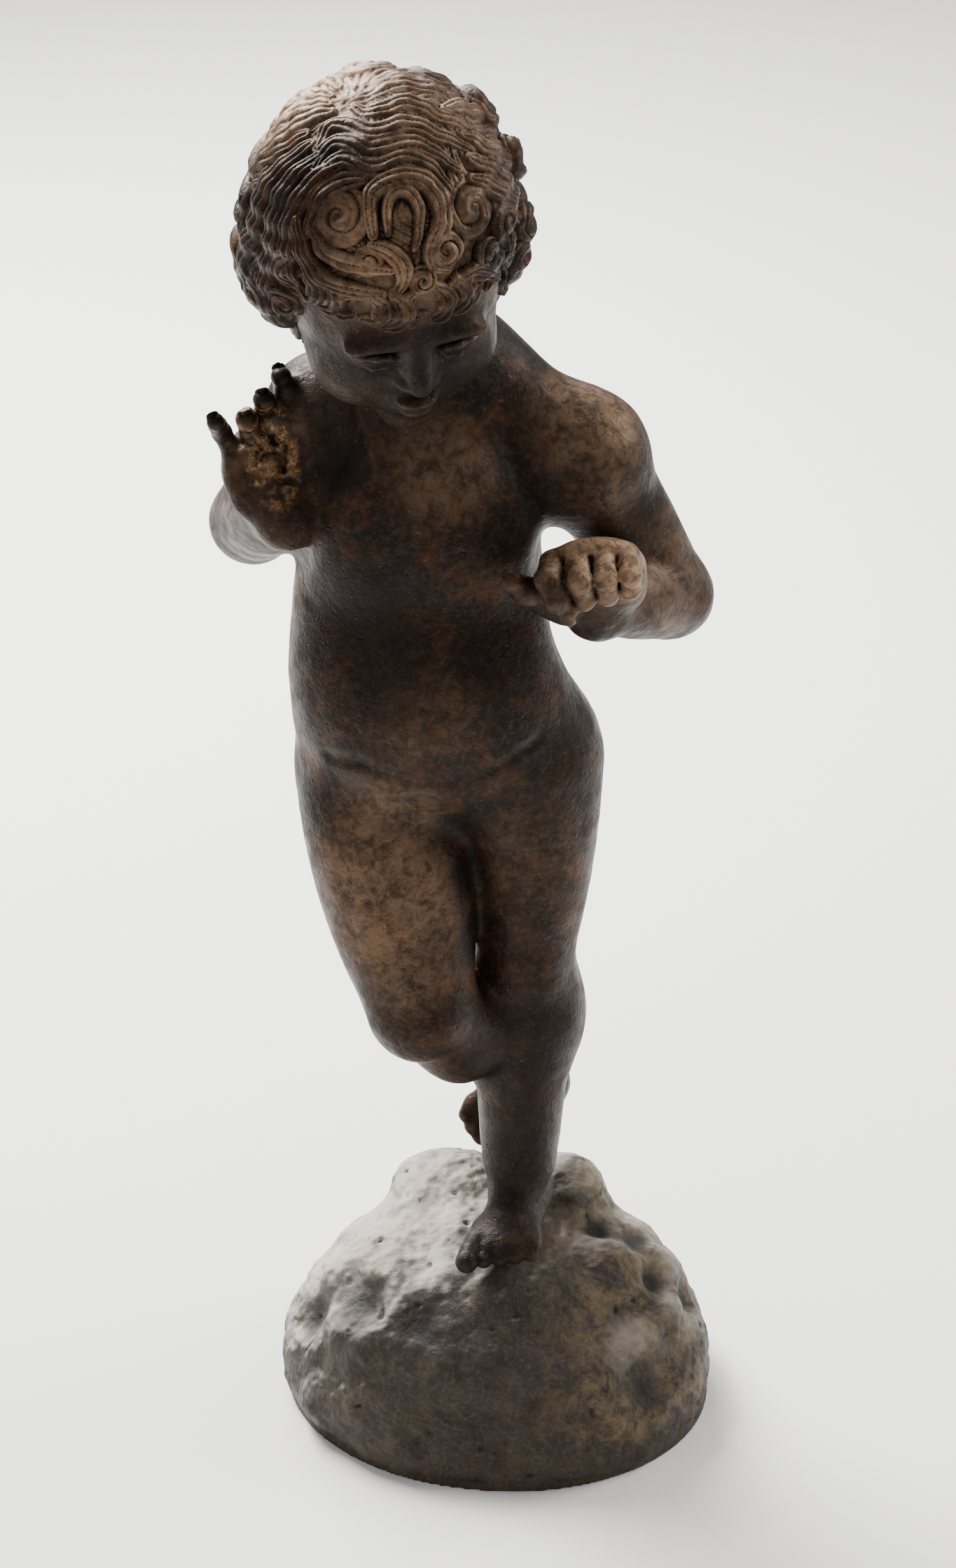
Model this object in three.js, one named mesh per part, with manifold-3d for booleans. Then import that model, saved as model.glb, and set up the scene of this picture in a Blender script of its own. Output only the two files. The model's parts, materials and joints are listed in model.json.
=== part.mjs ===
// A lead garden statue of a putto: a chubby, curly-headed child looks down over one raised open
// hand, with the other hand closed at the side, and steps on to the top of a low boulder.
// Millimetres, +Z up, the figure faces -Y. The origin is the centre of the boulder's underside.
// Both pieces are free forms: smooth blends of limbs and masses, turned into faceted solids.
import * as THREE from "three";
import { mergeVertices } from "three/addons/utils/BufferGeometryUtils.js";
import { edgeTable, triTable } from "three/addons/objects/MarchingCubes.js";
import Module from "manifold-3d";

// Driving dimensions.
const FIGURE_HEIGHT = 755; // sole of the standing foot to the crown of the head, under the hair
const ROCK_WIDTH = 286;
const ROCK_DEPTH = 236;
const ROCK_HEIGHT = 134; // ground to the sole of the standing foot
const SOLE_SINK = 3; // how deep the foot is bedded in the boulder
const SEAT_GAP = 0.6; // how far the boulder's seat is opened around the foot

// How finely the two forms are faceted.
const FIGURE_CELL = 4.4;
const ROCK_CELL = 8;
const FIGURE_FACES = 8400;
const ROCK_FACES = 1400;

// The figure's own measures are thousandths of its height, from the sole under the standing ankle.
const UNIT = FIGURE_HEIGHT / 1000;
const DEGREE = Math.PI / 180;

// Places in the figure: its left and right are the viewer's.
const HEAD = [-101, -28, 896];
const HEAD_TURN = [30, -5, 14]; // nods forward, leans to the viewer's left, looks to the right
const HEAD_SIZE = 1.07;
const NECK = [-58, 40, 752];
const CHEST = [-78, 25, 640];
const WAIST = [-85, 20, 556];
const BELLY = [-74, -2, 502];
const PELVIS = [-62, 22, 452];
const RIGHT_ARM = { shoulder: [46, 28, 702], elbow: [117, 52, 568], wrist: [56, -40, 608] };
const LEFT_ARM = { shoulder: [-150, 40, 730], elbow: [-216, 104, 608], wrist: [-186, -14, 674] };
const STANDING_LEG = { hip: [4, 16, 436], knee: [4, 2, 258], ankle: [0, 0, 66] };
const FREE_LEG = { hip: [-120, 12, 426], knee: [-81, -57, 250], ankle: [-6, 84, 112] };

const mix = (a, b, t) => a + (b - a) * t;
const between = (a, b, t) => a.map((value, i) => mix(value, b[i], t));
const clamp = (value, low, high) => Math.min(high, Math.max(low, value));
const size3 = (x, y, z) => Math.sqrt(x * x + y * y + z * z);

function smoothMin(a, b, blend) {
  const h = Math.max(blend - Math.abs(a - b), 0);
  return Math.min(a, b) - (blend > 0 ? (h * h) / (4 * blend) : 0);
}

// A round-ended limb from a to b, with a bulge at its middle.
function limb(a, b, radiusA, radiusB, bulge = 0) {
  const [dx, dy, dz] = [b[0] - a[0], b[1] - a[1], b[2] - a[2]];
  const lengthSquared = dx * dx + dy * dy + dz * dz;
  const [ax, ay, az] = a;
  return (x, y, z) => {
    const t = clamp(((x - ax) * dx + (y - ay) * dy + (z - az) * dz) / lengthSquared, 0, 1);
    const radius = radiusA + (radiusB - radiusA) * t + bulge * 4 * t * (1 - t);
    return size3(x - ax - dx * t, y - ay - dy * t, z - az - dz * t) - radius;
  };
}

// An ellipsoid, turned by degrees about X, Y and Z.
function mass(centre, radii, turn = [0, 0, 0]) {
  const m = placing(centre, turn).invert().elements;
  const [a, b, c] = radii;
  return (x, y, z) => {
    const u = (m[0] * x + m[4] * y + m[8] * z + m[12]) / a;
    const v = (m[1] * x + m[5] * y + m[9] * z + m[13]) / b;
    const w = (m[2] * x + m[6] * y + m[10] * z + m[14]) / c;
    const near = size3(u, v, w);
    const slope = size3(u / a, v / b, w / c);
    return slope < 1e-9 ? -Math.min(a, b, c) : (near * (near - 1)) / slope;
  };
}

function placing(centre, turn) {
  const [x, y, z] = turn.map((angle) => angle * DEGREE);
  const spin = new THREE.Matrix4().makeRotationFromEuler(new THREE.Euler(x, y, z, "ZYX"));
  return new THREE.Matrix4().makeTranslation(...centre).multiply(spin);
}

// A frame at a centre, with +Y along one direction and +Z as near as can be to another.
function aiming(centre, along, facing) {
  const y = new THREE.Vector3(...along).normalize();
  const x = new THREE.Vector3().crossVectors(y, new THREE.Vector3(...facing)).normalize();
  const z = new THREE.Vector3().crossVectors(x, y);
  return new THREE.Matrix4().makeBasis(x, y, z).setPosition(...centre);
}

// A form blends solids in order, each added or cut away, in a frame and at a scale of its own.
class Form {
  constructor(blend = 0, frame = new THREE.Matrix4(), scale = 1) {
    this.blend = blend;
    this.steps = [];
    this.scale = scale;
    this.inverse = frame.clone().scale(new THREE.Vector3(scale, scale, scale)).invert().elements;
  }
  add(solid, blend = this.blend) {
    this.steps.push({ solid, blend, sign: 1 });
    return this;
  }
  cut(solid, blend = this.blend) {
    this.steps.push({ solid, blend, sign: -1 });
    return this;
  }
  local(x, y, z) {
    const m = this.inverse;
    return [
      m[0] * x + m[4] * y + m[8] * z + m[12],
      m[1] * x + m[5] * y + m[9] * z + m[13],
      m[2] * x + m[6] * y + m[10] * z + m[14],
    ];
  }
  distance(x, y, z) {
    const m = this.inverse;
    const u = m[0] * x + m[4] * y + m[8] * z + m[12];
    const v = m[1] * x + m[5] * y + m[9] * z + m[13];
    const w = m[2] * x + m[6] * y + m[10] * z + m[14];
    let best = 1e6;
    for (const step of this.steps) {
      const d = step.solid instanceof Form ? step.solid.distance(u, v, w) : step.solid(u, v, w);
      best = step.sign > 0 ? smoothMin(best, d, step.blend) : -smoothMin(-best, d, step.blend);
    }
    return best * this.scale;
  }
  // The same form with only the steps that matter within reach of a point.
  within(x, y, z, reach) {
    const [u, v, w] = this.local(x, y, z);
    const far = this.steps.map(({ solid }) =>
      solid instanceof Form ? solid.distance(u, v, w) : solid(u, v, w),
    );
    const nearest = Math.min(...far.filter((_, i) => this.steps[i].sign > 0));
    const kept = Object.assign(new Form(this.blend), { inverse: this.inverse, scale: this.scale });
    const span = (2 * reach) / this.scale;
    kept.steps = this.steps
      .filter((step, i) => far[i] < (step.sign > 0 ? Math.max(nearest, 0) : 0) + span + step.blend)
      .map((step) =>
        step.solid instanceof Form ? { ...step, solid: step.solid.within(u, v, w, span / 2) } : step,
      );
    return kept;
  }
}

// Feet and hands.

// A foot in its own frame: the ankle over the origin, the toes along -Y, the sole at z = 0.
// inner is +1 where the big toe is on the +X side.
function foot(frame, inner, toeLift) {
  const form = new Form(9, frame);
  form.add(mass([0, 14, 22], [26, 28, 22]));
  form.add(limb([0, 2, 50], [2 * inner, -34, 20], 27, 17), 14);
  form.add(mass([1 * inner, -50, 13], [30, 28, 13], [8, 0, 0]), 12);
  form.add(limb([-13 * inner, 6, 12], [-16 * inner, -48, 10], 12, 10), 10);
  const toes = new Form(1.5);
  for (let i = 0; i < 5; i++) {
    const across = (24 - i * 12.4) * inner;
    const root = [across * 0.95, -64 + i * 3.6, 12 - i * 0.8];
    const length = i === 0 ? 24 : 21 - i * 2.4;
    const radius = i === 0 ? 9.6 : 7.4 - i * 0.35;
    const middle = [across * 1.02, root[1] - length * 0.55, 11 + toeLift * 0.5 - i * 0.6];
    const tip = [across, root[1] - length, radius * 0.86 + toeLift];
    toes.add(limb(root, middle, radius * 0.96, radius * 0.86));
    toes.add(limb(middle, tip, radius * 0.86, radius));
  }
  return form.add(toes, 5);
}

// A finger in a hand's frame: from its knuckle it bends towards the palm, +Z, joint by joint.
function finger(knuckle, splay, bends, length, radius) {
  const form = new Form(1.5);
  let [point, bend] = [knuckle, 0];
  const shares = [0.44, 0.31, 0.25];
  bends.forEach((angle, i) => {
    bend += angle * DEGREE;
    const reach = length * shares[i];
    const next = [
      point[0] + reach * Math.cos(bend) * Math.sin(splay * DEGREE),
      point[1] + reach * Math.cos(bend) * Math.cos(splay * DEGREE),
      point[2] + reach * Math.sin(bend),
    ];
    const taper = 1 - i * 0.06;
    form.add(limb(point, next, radius * taper, radius * (taper - 0.05), -radius * 0.05));
    point = next;
  });
  return form;
}

// A hand in its own frame: wrist at the origin, fingers along +Y, palm facing +Z.
// thumbSide is +1 where the thumb is on the +X side. Each finger is [splay, bends].
function hand(frame, size, thumbSide, fingers, thumb) {
  const form = new Form(8, frame, size);
  form.add(limb([0, -8, 0], [0, 24, -2], 24, 20));
  form.add(mass([0, 38, -4], [37, 33, 14]), 10);
  form.add(mass([24 * thumbSide, 22, 7], [17, 27, 15], [0, 0, -20 * thumbSide]), 9);
  form.add(mass([-22 * thumbSide, 26, 5], [15, 29, 13]), 9);
  const lengths = [53, 57, 53, 45];
  fingers.forEach(([splay, bends], i) => {
    const knuckle = [(26 - i * 17.2) * thumbSide, 60 - Math.abs(i - 1.2) * 3.6, -1];
    form.add(finger(knuckle, splay * thumbSide, bends, lengths[i], 9.6 - i * 0.4), 4);
  });
  const points = [[22 * thumbSide, 8, 6], ...thumb.map(([x, y, z]) => [x * thumbSide, y, z])];
  for (let i = 1; i < points.length; i++)
    form.add(limb(points[i - 1], points[i], 12.4 - i * 1.1, 11.4 - i * 1.1), 5);
  return form;
}

// The body.

function torso() {
  const form = new Form(44);
  form.add(mass([CHEST[0], CHEST[1], CHEST[2] - 10], [90, 68, 126], [-4, 0, 0]));
  form.add(mass(WAIST, [94, 72, 100]));
  form.add(mass(BELLY, [104, 74, 84]));
  form.add(mass(PELVIS, [114, 70, 72], [0, -8, 0]));
  form.add(limb(LEFT_ARM.shoulder, [-100, 36, 742], 40, 46), 40);
  form.add(limb(RIGHT_ARM.shoulder, [-42, 40, 766], 38, 42), 40);
  form.add(limb([-70, 32, 726], NECK, 50, 46), 40);
  for (const side of [-1, 1]) {
    form.add(mass([-78 + side * 36, -20, 664], [42, 26, 44], [0, 0, side * 12]), 44);
    form.add(mass([-64 + side * 52, 58, 432 + side * 8], [54, 50, 56]), 20);
    form.add(mass([-70 + side * 46, 60, 680], [36, 26, 50]), 34);
  }
  form.cut(limb([-74, 104, 700], [-70, 100, 500], 4, 4), 22);
  form.cut(limb([-62, 122, 450], [-56, 86, 380], 3, 5), 16);
  form.cut(mass([-76, -84, 534], [6, 9, 5]), 6);
  return form;
}

function leg({ hip, knee, ankle }, sizes) {
  const form = new Form(24);
  const calf = between(knee, ankle, 0.3).map((value, i) => value + sizes.calf[i]);
  form.add(limb(hip, knee, sizes.hip, sizes.knee, sizes.thigh));
  form.add(limb(knee, ankle, sizes.knee * 0.97, sizes.ankle, 4), 14);
  form.add(mass(calf, [sizes.belly, sizes.belly * 1.02, 52], sizes.lean), 26);
  form.add(mass(knee.map((value, i) => value + sizes.cap[i]), [23, 15, 24]), 16);
  return form;
}

function arm({ shoulder, elbow, wrist }, girth) {
  const form = new Form(20);
  form.add(mass(shoulder, [48 * girth, 46 * girth, 48 * girth]));
  form.add(limb(shoulder, elbow, 42 * girth, 33 * girth, 2));
  form.add(limb(elbow, wrist, 33 * girth, 22 * girth, 5), 12);
  return form;
}

// The head, in its own frame: face along -Y, centred on the skull.

function face() {
  const form = new Form(20);
  form.add(mass([0, 12, 8], [84, 94, 88]));
  form.add(mass([0, -28, -44], [62, 58, 70]), 30);
  for (const side of [-1, 1]) {
    form.add(mass([side * 34, -52, -54], [29, 27, 29]), 18);
    form.add(mass([side * 26, -79, -1], [24, 10, 8], [0, side * 8, 0]), 12);
  }
  form.add(mass([0, -66, -98], [20, 17, 16]), 16);
  form.add(mass([0, -76, -68], [19, 13, 17]), 14);
  for (const side of [-1, 1]) {
    form.cut(mass([side * 28, -90, -16], [17, 13, 10]), 12);
    form.add(mass([side * 28, -74, -17], [15, 10, 10]), 4);
  }
  form.add(limb([0, -80, -6], [0, -94, -36], 7, 9), 9);
  for (const side of [-1, 1]) form.add(mass([side * 9, -87, -39], [7, 8, 6]), 5);
  form.add(mass([0, -90, -60], [14, 7, 5]), 4);
  form.add(mass([0, -88, -71], [11, 7, 6]), 4);
  return form;
}

// The direction of a place on the head, by degrees round it (0 in front, + to the viewer's right)
// and degrees above its middle.
function onHead(round, above) {
  const [a, e] = [round * DEGREE, above * DEGREE];
  return [Math.sin(a) * Math.cos(e), -Math.cos(a) * Math.cos(e), Math.sin(e)];
}

const HAIR_CENTRE = [0, 14, 10];
const HAIR_RADII = [93, 100, 93];

function hairPoint(round, above, proud) {
  return onHead(round, above).map((value, i) => HAIR_CENTRE[i] + value * (HAIR_RADII[i] + proud));
}

// A lock of hair: a tapering rope through places on the head, each [round, above].
function lock(places, width, proud = 4) {
  const curve = new THREE.CatmullRomCurve3(
    places.map(([round, above]) => new THREE.Vector3(...hairPoint(round, above, proud))),
  );
  const form = new Form(2);
  const count = places.length * 3;
  const points = curve.getPoints(count).map((p) => p.toArray());
  const radius = (i) => width * (0.5 + 0.5 * Math.sin(Math.PI * mix(0.18, 0.86, i / count)));
  for (let i = 0; i < count; i++) form.add(limb(points[i], points[i + 1], radius(i), radius(i + 1)));
  return form;
}

// A curl: a spiral lock that winds in on itself about a place on the head.
function curl(round, above, size, hand, start, proud = 3) {
  const places = [];
  for (let i = 0; i <= 7; i++) {
    const angle = (start + hand * i * 62) * DEGREE;
    const reach = size * (1 - i / 9);
    places.push([
      round + (reach * Math.cos(angle)) / Math.cos(above * DEGREE),
      above + reach * Math.sin(angle),
    ]);
  }
  return lock(places, size * 0.52, proud);
}

function hair() {
  const form = new Form(7);
  const cap = new Form(16);
  cap.add(mass([0, 18, 26], [89, 94, 80]));
  cap.add(mass([0, 62, -18], [78, 52, 66]));
  for (const side of [-1, 1]) cap.add(mass([side * 66, 14, -12], [32, 48, 42]));
  cap.cut(mass([0, -98, -52], [66, 62, 66]), 14);
  form.add(cap);
  return form.add(curls(), 5);
}

// A place on the head by its angle from the crown of the hair and its bearing about it
// (0 to the front, + to the viewer's right), as [round, above].
const CROWN = onHead(-152, 66);

function fromCrown(angle, bearing) {
  const out = new THREE.Vector3(...CROWN);
  const side = new THREE.Vector3().crossVectors(out, new THREE.Vector3(0, -1, 0)).normalize();
  const front = new THREE.Vector3().crossVectors(side, out);
  const [a, b] = [angle * DEGREE, bearing * DEGREE];
  const way = out.clone().multiplyScalar(Math.cos(a));
  way.addScaledVector(front, Math.sin(a) * Math.cos(b)).addScaledVector(side, -Math.sin(a) * Math.sin(b));
  return [Math.atan2(way.x, -way.y) / DEGREE, Math.asin(clamp(way.z, -1, 1)) / DEGREE];
}

// The forelock: arches over the brow, the lock that sweeps up across it and the locks beside it.
const FORELOCK = [
  { width: 9, proud: 4, places: [[-32, 44], [-38, 56], [-28, 66], [1, 70], [27, 62], [30, 50], [12, 30]] },
  { width: 7, proud: 3, places: [[-18, 40], [-18, 52], [-8, 60], [6, 59], [14, 50], [8, 40]] },
  { width: 10, proud: 5, places: [[-75, 46], [-66, 34], [-56, 27], [-45, 21], [-30, 19], [-8, 30]] },
  { width: 8, proud: 4, places: [[36, 62], [46, 52], [46, 42], [36, 34]] },
];
// Curls that stand by themselves: [round, above, size, hand, start, proud].
const SINGLE_CURLS = [
  [-36, 7, 11, -1, 0, 4], [-17, 5, 11, 1, 40, 4], [2, 2, 11, -1, 80, 4], [21, 3, 11, 1, 120, 4],
  [40, 5, 12, -1, 30, 4], [27, 19, 10, 1, 60, 4], [58, 28, 14, 1, 20, 5], [92, 34, 14, -1, 100, 7],
];
// Rows of curls round the sides and the back, closed up as they go down.
const CURL_ROWS = [
  { above: 12, size: 13, first: 64, count: 9 },
  { above: -10, size: 14, first: 62, count: 9 },
  { above: -31, size: 12, first: 72, count: 8 },
];
const CROWN_LOCKS = 15;

function curls() {
  const form = new Form(2.5);
  for (let i = 0; i < CROWN_LOCKS; i++) {
    const bearing = (360 * (i + 0.5)) / CROWN_LOCKS;
    const reach = mix(64, 42, (1 + Math.cos(bearing * DEGREE)) / 2);
    const places = [0.16, 0.4, 0.6, 0.8, 1].map((share, k) =>
      fromCrown(reach * share, bearing + [0, 6, -4, 6, -3][k] * (i % 2 ? 1 : 0.4)),
    );
    form.add(lock(places, 10, 1));
  }
  for (const { places, width, proud } of FORELOCK) form.add(lock(places, width, proud));
  for (const single of SINGLE_CURLS) form.add(curl(...single));
  CURL_ROWS.forEach(({ above, size, first, count }, row) => {
    for (let i = 0; i < count; i++) {
      const round = mix(first, 360 - first, (i + (row % 2) * 0.4) / (count - 0.6));
      const sway = 5 * Math.sin(i * 2.4 + row);
      form.add(curl(round, above + sway, size, (i + row) % 2 ? 1 : -1, 70 * i + 50 * row));
    }
  });
  return form;
}

// Each hand's fingers, from index to little, and its thumb.
const OPEN_HAND = {
  fingers: [[0, [25, 20, 15]], [2, [45, 35, 10]], [4, [55, 35, 10]], [-14, [42, 30, 10]]],
  thumb: [[34, 16, 10], [42, 36, 16], [45, 57, 18]],
};
const CLOSED_HAND = {
  fingers: [[24, [58, 74, 44]], [4, [76, 92, 56]], [0, [78, 92, 54]], [-4, [80, 92, 52]]],
  thumb: [[36, 22, 6], [48, 40, 8], [55, 54, 8]],
};

const STANDING_SIZES = {
  hip: 62, knee: 38, thigh: 5, ankle: 32, belly: 37,
  calf: [14, 12, 0], cap: [-2, -16, 2], lean: [2, 0, 0],
};
const FREE_SIZES = {
  hip: 62, knee: 43, thigh: 10, ankle: 28, belly: 36,
  calf: [10, 4, -2], cap: [-2, -16, -8], lean: [-46, 0, 0],
};

function figure() {
  const form = new Form(12);
  form.add(torso());
  form.add(leg(STANDING_LEG, STANDING_SIZES), 26);
  form.add(leg(FREE_LEG, FREE_SIZES), 14);
  form.add(foot(placing([0, 0, 0], [0, 0, -14]), -1, 0), 10);
  form.add(foot(placing([2, 98, 92], [78, 34, 10]), 1, 8), 10);
  form.add(arm(RIGHT_ARM, 1), 24);
  form.add(arm(LEFT_ARM, 0.98), 20);
  form.add(limb(NECK, [-96, 4, 862], 46, 44), 26);
  const closedFrame = aiming(RIGHT_ARM.wrist, [-0.1, -0.52, 0.85], [0.1, -0.85, -0.52]);
  form.add(hand(closedFrame, 1.1, -1, CLOSED_HAND.fingers, CLOSED_HAND.thumb), 10);
  const openFrame = aiming(LEFT_ARM.wrist, [-0.25, 0.48, 0.84], [0, -0.87, 0.49]);
  form.add(hand(openFrame, 1, 1, OPEN_HAND.fingers, OPEN_HAND.thumb), 10);
  const head = new Form(6, placing(HEAD, HEAD_TURN), HEAD_SIZE);
  head.add(face());
  head.add(hair(), 5);
  return form.add(head, 10);
}

// The boulder.

function boulder() {
  const [a, b, h] = [ROCK_WIDTH / 2, ROCK_DEPTH / 2, ROCK_HEIGHT];
  const share = (x, y, z) => [x * a, y * b, z * h];
  const form = new Form(28);
  form.add(mass(share(0, 0, 0.14), share(1, 1, 0.56), [0, 0, -8]));
  form.add(mass(share(-0.1, 0.05, 0.4), share(0.74, 0.84, 0.58)), 34);
  form.add(mass(share(0.48, 0.12, 0.34), share(0.4, 0.6, 0.42)), 24);
  // The humps behind the foot, the brow in front of it and the knobs down the right side.
  form.add(mass(share(0.28, 0.42, 0.72), share(0.26, 0.34, 0.34)), 12);
  form.add(mass(share(-0.2, 0.5, 0.7), share(0.3, 0.38, 0.32)), 16);
  form.add(mass(share(-0.36, -0.36, 0.62), share(0.42, 0.34, 0.2), [16, -14, 0]), 12);
  form.add(mass(share(0.52, 0.02, 0.66), share(0.22, 0.34, 0.2), [0, 30, 0]), 9);
  form.add(mass(share(0.34, -0.62, 0.4), share(0.26, 0.2, 0.18), [0, 12, 20]), 9);
  form.cut(mass(share(-0.26, -1.2, 0.36), share(0.6, 0.3, 0.3)), 34);
  form.cut(mass(share(0.86, -0.56, 0.56), share(0.16, 0.22, 0.18)), 14);
  return form;
}

// From a form to a faceted mesh.

const CORNERS = [
  [0, 0, 0], [1, 0, 0], [1, 1, 0], [0, 1, 0],
  [0, 0, 1], [1, 0, 1], [1, 1, 1], [0, 1, 1],
];
const EDGES = [
  [0, 1], [1, 2], [2, 3], [3, 0], [4, 5], [5, 6],
  [6, 7], [7, 4], [0, 4], [1, 5], [2, 6], [3, 7],
];
const BLOCK = 6; // cells along one side of a block that is looked at as a whole
const SLACK = 1.5; // how much faster than distance a blended field may change

// Marching cubes over a box, { low, high }, in blocks: those with their middle near the surface are
// sampled, and then any others that the surface runs on into.
function polygonise(form, { low, high }, cell) {
  const blocks = low.map((value, i) => Math.ceil((high[i] - value) / (cell * BLOCK)));
  const size = blocks.map((n) => n * BLOCK + 1);
  const samples = new Float32Array(size[0] * size[1] * size[2]).fill(NaN);
  const at = (i, j, k) => i + size[0] * (j + size[1] * k);
  const place = (i, j, k) => [low[0] + i * cell, low[1] + j * cell, low[2] + k * cell];
  const reach = (cell * BLOCK * Math.sqrt(3)) / 2;
  const points = [];
  const faces = [];
  const crossing = new Map();
  const pointOn = (cellIndex, edge) => {
    const [from, to] = EDGES[edge].map((corner) => CORNERS[corner].map((v, axis) => v + cellIndex[axis]));
    const [p, q] = [at(...from), at(...to)].sort((m, n) => m - n);
    const key = p * 4 + (q - p === 1 ? 0 : q - p === size[0] ? 1 : 2);
    if (!crossing.has(key)) {
      const t = clamp(samples[at(...from)] / (samples[at(...from)] - samples[at(...to)]), 0.02, 0.98);
      crossing.set(key, points.push(between(place(...from), place(...to), t)) - 1);
    }
    return crossing.get(key);
  };
  const waiting = [];
  const met = new Uint8Array(blocks[0] * blocks[1] * blocks[2]);
  const meet = (block) => {
    const number = block[0] + blocks[0] * (block[1] + blocks[1] * block[2]);
    if (block.some((value, axis) => value < 0 || value >= blocks[axis]) || met[number]) return;
    met[number] = 1;
    waiting.push(block);
  };
  const beside = (block, axis, way) => block.map((value, i) => value + (i === axis ? way : 0));
  const march = (i, j, k, block) => {
    let inside = 0;
    CORNERS.forEach(([x, y, z], c) => {
      if (samples[at(i + x, j + y, k + z)] < 0) inside |= 1 << c;
    });
    if (!edgeTable[inside]) return;
    [i, j, k].forEach((value, axis) => {
      const step = value - block[axis] * BLOCK;
      if (step === 0) meet(beside(block, axis, -1));
      if (step === BLOCK - 1) meet(beside(block, axis, 1));
    });
    for (let t = inside * 16; triTable[t] >= 0; t += 3)
      faces.push([2, 1, 0].map((n) => pointOn([i, j, k], triTable[t + n])));
  };
  const middleOf = (block) => place(...block.map((value) => (value + 0.5) * BLOCK));
  for (let k = 0; k < blocks[2]; k++)
    for (let j = 0; j < blocks[1]; j++)
      for (let i = 0; i < blocks[0]; i++)
        if (Math.abs(form.distance(...middleOf([i, j, k]))) <= reach * SLACK) meet([i, j, k]);
  while (waiting.length) {
    const block = waiting.pop();
    const [i0, j0, k0] = block.map((value) => value * BLOCK);
    const nearby = form.within(...middleOf(block), reach * SLACK);
    for (let k = k0; k <= k0 + BLOCK; k++)
      for (let j = j0; j <= j0 + BLOCK; j++)
        for (let i = i0; i <= i0 + BLOCK; i++)
          if (Number.isNaN(samples[at(i, j, k)]))
            samples[at(i, j, k)] = nearby.distance(...place(i, j, k)) || 1e-6;
    for (let k = k0; k < k0 + BLOCK; k++)
      for (let j = j0; j < j0 + BLOCK; j++)
        for (let i = i0; i < i0 + BLOCK; i++) march(i, j, k, block);
  }
  return outermost(points, faces);
}

// The largest of the closed shells in a mesh: small pockets sealed inside a form are left solid.
function outermost(points, faces) {
  const home = points.map((_, v) => v);
  const find = (v) => {
    while (home[v] !== v) v = home[v] = home[home[v]];
    return v;
  };
  for (const [p, q, r] of faces) {
    home[find(q)] = find(p);
    home[find(r)] = find(p);
  }
  const sizes = new Map();
  for (const [p] of faces) sizes.set(find(p), (sizes.get(find(p)) ?? 0) + 1);
  const [largest] = [...sizes].sort((a, b) => b[1] - a[1])[0];
  return { points, faces: faces.filter(([p]) => find(p) === largest) };
}

// A heap of numbers with things, smallest first.
class Queue {
  constructor() {
    this.items = [];
  }
  push(cost, thing) {
    const items = this.items;
    let i = items.push({ cost, thing }) - 1;
    while (i > 0 && items[(i - 1) >> 1].cost > items[i].cost) {
      const parent = (i - 1) >> 1;
      [items[i], items[parent]] = [items[parent], items[i]];
      i = parent;
    }
  }
  pop() {
    const items = this.items;
    const top = items[0];
    const last = items.pop();
    if (items.length) {
      items[0] = last;
      for (let i = 0; ; ) {
        let child = 2 * i + 1;
        if (child >= items.length) break;
        if (child + 1 < items.length && items[child + 1].cost < items[child].cost) child++;
        if (items[child].cost >= items[i].cost) break;
        [items[i], items[child]] = [items[child], items[i]];
        i = child;
      }
    }
    return top;
  }
}

const minus = (a, b) => [a[0] - b[0], a[1] - b[1], a[2] - b[2]];
const dot = (a, b) => a[0] * b[0] + a[1] * b[1] + a[2] * b[2];
const cross = (a, b) => [a[1] * b[2] - a[2] * b[1], a[2] * b[0] - a[0] * b[2], a[0] * b[1] - a[1] * b[0]];

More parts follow.
